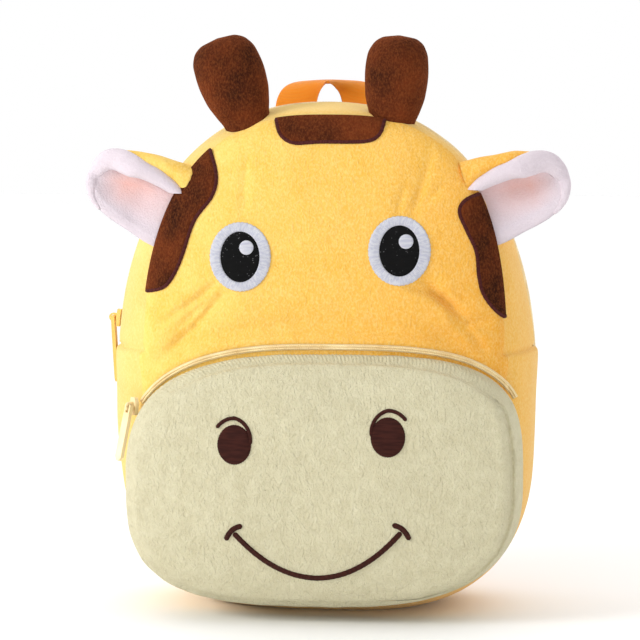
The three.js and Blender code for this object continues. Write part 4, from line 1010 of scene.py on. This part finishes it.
# An ear along its length: its lower and upper edges, the degrees and radius of the curl along its top, and
# the flap that hangs on beyond the curl
EAR_SECTIONS = (
    (-0.1, -0.485, 0.455, 180, 3.1, 9), (0.1, -0.475, 0.44, 180, 3.3, 4), (0.36, -0.43, 0.41, 165, 3.7, 1),
    (0.62, -0.385, 0.36, 110, 4.1, 1), (0.82, -0.31, 0.3, 75, 4.5, 1), (0.94, -0.21, 0.21, 60, 4.1, 1),
    (1, -0.09, 0.08, 45, 3, 1),
)
EAR_CUP, EAR_HOLLOW = 2.5, 3.2
EAR_SET_BACK, EAR_PADDING = 3.6, 2.7

# The roll along an ear's edge: its radius at places along it, and its width and thickness for that radius
ROLL_PLACES = (0, 0.1, 0.45, 0.62, 0.8, 1)
ROLL_RADII = (3.0, 4.2, 4.6, 3.8, 2.2, 0.6)
ROLL_WIDTH, ROLL_THICKNESS = 1.3, 0.9


def ear(side, share_x, share_z, lean, seed):
    sign = -1 if side == "left" else 1
    along = np.sin(np.linspace(-0.1, np.pi / 2, 70))
    rows = np.array(EAR_SECTIONS)
    low, high, curl, radius, flap = (cubic(along, rows[:, 0], rows[:, k])[:, None] for k in range(1, 6))
    low, high, curl = low * EAR_SPAN, high * EAR_SPAN, np.radians(curl)
    crest = radius * np.sin(np.minimum(curl, np.pi / 2)) + flap * np.maximum(np.cos(curl), 0)
    flat = high - low - crest
    across = np.linspace(0, 1, 96)
    width = flat + curl * radius + flap
    run = across * width
    turned = np.clip((run - flat) / radius, 0, curl)
    hanging = np.maximum(run - flat - curl * radius, 0)
    height = low + np.minimum(run, flat) + radius * np.sin(turned) + hanging * np.cos(curl)
    forward = radius * (1 - np.cos(turned)) + hanging * np.sin(curl) + EAR_CUP * (1 - across) ** 3
    hollow = np.sin(np.pi * np.clip(along, 0, 1))[:, None] * np.sin(np.pi * np.clip(across * 1.3, 0, 1))
    forward = forward - EAR_HOLLOW * hollow
    lean = math.radians(lean)
    out = (along * EAR_LENGTH)[:, None]
    x = share_x * FACE_HALF + sign * (out * math.cos(lean) - height * math.sin(lean))
    z = share_z * BAG_HEIGHT + out * math.sin(lean) + height * math.cos(lean)
    sheet = join(x, FRONT_Y + EAR_SET_BACK - forward, z)
    normal = unit(np.cross(np.gradient(sheet, axis=1), np.gradient(sheet, axis=0)))
    normal *= np.sign(normal[len(along) // 2, len(across) // 4] @ BACKWARD)
    edge = np.minimum(across, 1 - across) * width
    tip = np.minimum(edge, ((1.001 - along) * EAR_LENGTH)[:, None] * 1.2)
    full = np.sqrt(np.clip(tip / 4.0, 0, 1))
    soft = 0.35 * lumps(sheet, 18, seed)
    layers = (("ear_back", YELLOW, EAR_PADDING), ("ear_lining", LINING, -EAR_PADDING))
    for name, material, thickness in layers:
        outer = sheet + normal * ((thickness + soft) * full)[..., None]
        piece = thick_sheet(
            f"{name}_{side}_plush", outer, sheet, material, pairs(across, along[:, None]),
            flip=(thickness > 0) != (sign > 0), node=f"{name}_{side}",
        )
    ear_roll(side, sheet)


def ear_roll(side, sheet):
    """The stuffed roll of lining along an ear's upper edge and round its tip."""
    n = len(sheet)
    path = np.vstack([sheet[:, -1], sheet[-1, ::-6], sheet[: int(n * 0.55) : -1, 0]])
    path, _ = even(path, 150)
    ends = np.vstack([np.repeat(path[:1], 4, 0), path, np.repeat(path[-1:], 4, 0)])
    path = np.stack([np.convolve(ends[:, k], np.ones(9) / 9, "valid") for k in range(3)], -1)
    share = np.linspace(0, 1, len(path))
    radius = np.interp(share, ROLL_PLACES, ROLL_RADII)[:, None]
    inward = sheet[n // 2, sheet.shape[1] // 3] - path
    inward[:, 1] = 0
    inward = unit(inward)
    inset = radius * (1.05 - 0.5 * smoothstep((share - 0.3) / 0.3))[:, None]
    centre = path + inward * inset + [0, -0.4, 0]
    a = full_turn(28)
    rings = centre[:, None, :] + inward[:, None, :] * (np.cos(a) * radius * ROLL_WIDTH)[..., None]
    rings = rings + BACKWARD * (np.sin(a) * radius * ROLL_THICKNESS)[..., None]
    uv = np.zeros((len(path) * len(a), 2))
    piece = tube(f"ear_roll_{side}", rings, LINING, uv, node=f"ear_lining_{side}")


# The handle and the straps


PLUMP = 2.6


def ribbon(node, kind, line, width, thickness, material, steps=10, power=8):
    """A flat strip across the bag along a line, with rounded edges; a lower power makes it plumper."""
    tangent = unit(np.gradient(line, axis=0))
    across = unit([1.0, 0, 0] - tangent * tangent[:, :1])
    normal = np.cross(tangent, across)
    side = np.linspace(-1, 1, steps * 2)
    lift = np.sqrt(1 - np.abs(side) ** power)
    side = np.concatenate([side, side[::-1]])
    half_width = np.broadcast_to(width, len(line))[:, None] / 2
    half_thick = np.concatenate([lift, -lift[::-1]]) * thickness / 2
    rings = line[:, None, :] + across[:, None, :] * (side * half_width)[..., None]
    rings = rings + normal[:, None, :] * half_thick[:, None]
    uv = pairs(length_along(line)[:, None], side * half_width)
    return tube(f"{node}_{kind}", rings, material, uv, node=node)


# The handle's two long edges, from its left foot to its middle
HANDLE_BACK_EDGE = (
    (-28.9, 35, 248), (-28.7, 36, 257), (-27.4, 38, 263), (-24.5, 40, 267.3), (-19.5, 43, 269.9),
    (-11, 45.5, 271), (0, 46, 271.2),
)
HANDLE_FRONT_EDGE = (
    (-7.6, 35, 248), (-7.2, 36, 257), (-6.2, 36, 262.5), (-4.8, 34.5, 266), (-2.9, 31.5, 268.4),
    (-1.4, 28.5, 269.8), (0, 26, 270.4),
)


def handle():
    edges = []
    for rows in (HANDLE_BACK_EDGE, HANDLE_FRONT_EDGE):
        half = np.array(rows, float)
        edges.append(spline(np.vstack([half, half[-2::-1] * [-1, 1, 1]]), 200)[:, None, :])
    share = np.linspace(0, 1, 24)[:, None]
    sheet = edges[0] * (1 - share) + edges[1] * share + [HANDLE_CENTRE_X, 0, 0]
    sheet[..., 2] += HANDLE_CROWN * np.sin(np.pi * share[:, 0])
    normal = unit(np.cross(np.gradient(sheet, axis=0), np.gradient(sheet, axis=1)))
    uv = pairs(length_along(sheet.mean(1))[:, None], share[:, 0] * HANDLE_WIDTH)
    half = normal * WEBBING_THICKNESS / 2
    thick_sheet("handle_webbing", sheet + half, sheet - half, WEBBING_ORANGE, uv, node="grab_handle")


# The straps' places: how far out to the side each is, how far back and how high, as shares of the bag's
# half width, the straps' stand-off and the bag's height
STRAP_PAD = (
    (0.26, -0.06, 0.925), (0.28, 0.36, 0.945), (0.31, 0.72, 0.91), (0.35, 0.94, 0.82), (0.39, 1, 0.7),
    (0.43, 0.96, 0.56), (0.47, 0.86, 0.43),
)
STRAP_WEBBING = ((0.53, 0.62, 0.28), (0.56, 0.43, 0.205), (0.59, 0.24, 0.15))
STRAP_SEAM = (0.63, -0.08, 0.08)


def strap_place(sign, row):
    side, out, height = row
    return (sign * side * BAG_WIDTH / 2, BACK_Y + BACK_CROWN + out * STRAP_STAND_OFF, height * BAG_HEIGHT)


def straps():
    for side, sign in (("left", -1), ("right", 1)):
        line = spline([strap_place(sign, row) for row in STRAP_PAD], 130)
        narrowing = STRAP_NARROWING * np.clip((np.linspace(0, 1, len(line)) - 0.8) / 0.2, 0, 1)
        width = STRAP_WIDTH * (1 - narrowing)
        pad = ribbon(f"strap_pad_{side}", "plush", line, width, STRAP_THICKNESS, YELLOW, 14, PLUMP)
        start = line[-1] + unit(line[-1] - line[-2]) * (SEAT_GAP + BUCKLE_BAR)
        start = start - [0, (BUCKLE_THICKNESS + WEBBING_THICKNESS) / 2 + BUCKLE_GAP, 0]
        lower = spline([start, *[strap_place(sign, row) for row in STRAP_WEBBING]], 90)
        ribbon(
            f"strap_webbing_{side}", "weave", lower, STRAP_WEBBING_WIDTH, WEBBING_THICKNESS, WEBBING_ORANGE
        )
        run = np.array(strap_place(sign, STRAP_SEAM)) - lower[-1]
        tab = lower[-1] + run * np.linspace(0.01, 1, 40)[:, None]
        width = np.linspace(ANCHOR_TOP_WIDTH, ANCHOR_FOOT_WIDTH, len(tab))
        ribbon(f"strap_anchor_{side}", "plush", tab, width, ANCHOR_THICKNESS, YELLOW, power=PLUMP)


face_panel()
bands()
back_panel()
main_zip()
muzzle_panel()
muzzle_band()
muzzle_zip()
for row in SPOTS:
    spot(*row)
eyes()
nostrils()
smile()
for row in HORNS:
    horn(*row)
for row in EARS:
    ear(*row)
handle()
straps()

for node in (
    "main_zip_slider", "main_zip_pull", "muzzle_zip_slider", "muzzle_zip_pull", "strap_buckle_left",
    "strap_buckle_right",
):
    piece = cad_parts[node]
    piece.data.materials.clear()
    piece.data.materials.append(YELLOW_PLASTIC if node.startswith("main_zip") else PLASTIC)
    bevel = piece.modifiers.new("soft_edges", "BEVEL")
    bevel.width = 0.0004
    bevel.segments = 3
    bevel.limit_method = "ANGLE"

# Floor, light and camera

floor_mesh = bpy.data.meshes.new("floor")
floor_mesh.from_pydata([(-6, -6, 0), (6, -6, 0), (6, 6, 0), (-6, 6, 0)], [], [(0, 1, 2, 3)])
floor = bpy.data.objects.new("floor", floor_mesh)
bpy.context.scene.collection.objects.link(floor)
pale = Nodes(bpy.data.materials.new("pale_floor"))
pale_colour = pale.ramp(pale.noise(3, 2), [(0.3, (0.96, 0.96, 0.96)), (0.7, (0.975, 0.975, 0.975))])
floor_mesh.materials.append(pale.finish(pale_colour, 0.9, 0.3))

# A studio sweep: white behind and above the bag, dimmer on the side that it is seen from. Each row gives
# where along an axis the light starts and stops to rise, and its strength at both.
SWEEP = (("Y", -0.3, 0.3, 0.32, 1.0), ("Z", 0.4, 0.8, 0.0, 0.6))
sky = Nodes(bpy.data.worlds.new("studio"))
levels = []
for axis, *limits in SWEEP:
    values = dict(zip(("From Min", "From Max", "To Min", "To Max"), limits))
    values["Value"] = sky.axes(sky.direction)[axis]
    levels.append(sky.add("MapRange", values).outputs["Result"])
sky.fill(sky.tree.nodes["Background"], {"Color": (1, 1, 1, 1), "Strength": sky.plus(*levels)})
bpy.context.scene.world = sky.owner


def aimed(thing, along):
    """Turn a light or the camera to look along a direction, and add it to the scene."""
    thing.rotation_mode = "QUATERNION"
    thing.rotation_quaternion = along.to_track_quat("-Z", "Y")
    bpy.context.scene.collection.objects.link(thing)


LIGHT_AIM = Vector((0, 0, 0.13))


def area_light(name, place, size, power):
    data = bpy.data.lights.new(name, "AREA")
    data.size = size
    data.energy = power
    light = bpy.data.objects.new(name, data)
    light.location = place
    aimed(light, LIGHT_AIM - light.location)


area_light("key", (-1.35, -0.8, 0.75), 0.6, 16.5)
area_light("fill", (0.7, -1.6, 0.08), 1.0, 7)

# The camera's turn to the right and upwards, how far off it stands, and what it looks at, in metres
CAMERA_AZIMUTH, CAMERA_ELEVATION = math.radians(5.5), math.radians(5.0)
CAMERA_DISTANCE = 1.25
CAMERA_AIM = Vector((-0.0031, 0, 0.1472))
camera_data = bpy.data.cameras.new("camera")
camera_data.sensor_width = 36
camera_data.lens = 135.2
camera = bpy.data.objects.new("camera", camera_data)
flat = math.cos(CAMERA_ELEVATION)
back = Vector((
    math.sin(CAMERA_AZIMUTH) * flat, -math.cos(CAMERA_AZIMUTH) * flat, math.sin(CAMERA_ELEVATION),
))
camera.location = CAMERA_AIM + back * CAMERA_DISTANCE
aimed(camera, -back)
bpy.context.scene.camera = camera
bpy.context.scene.view_settings.view_transform = "Standard"
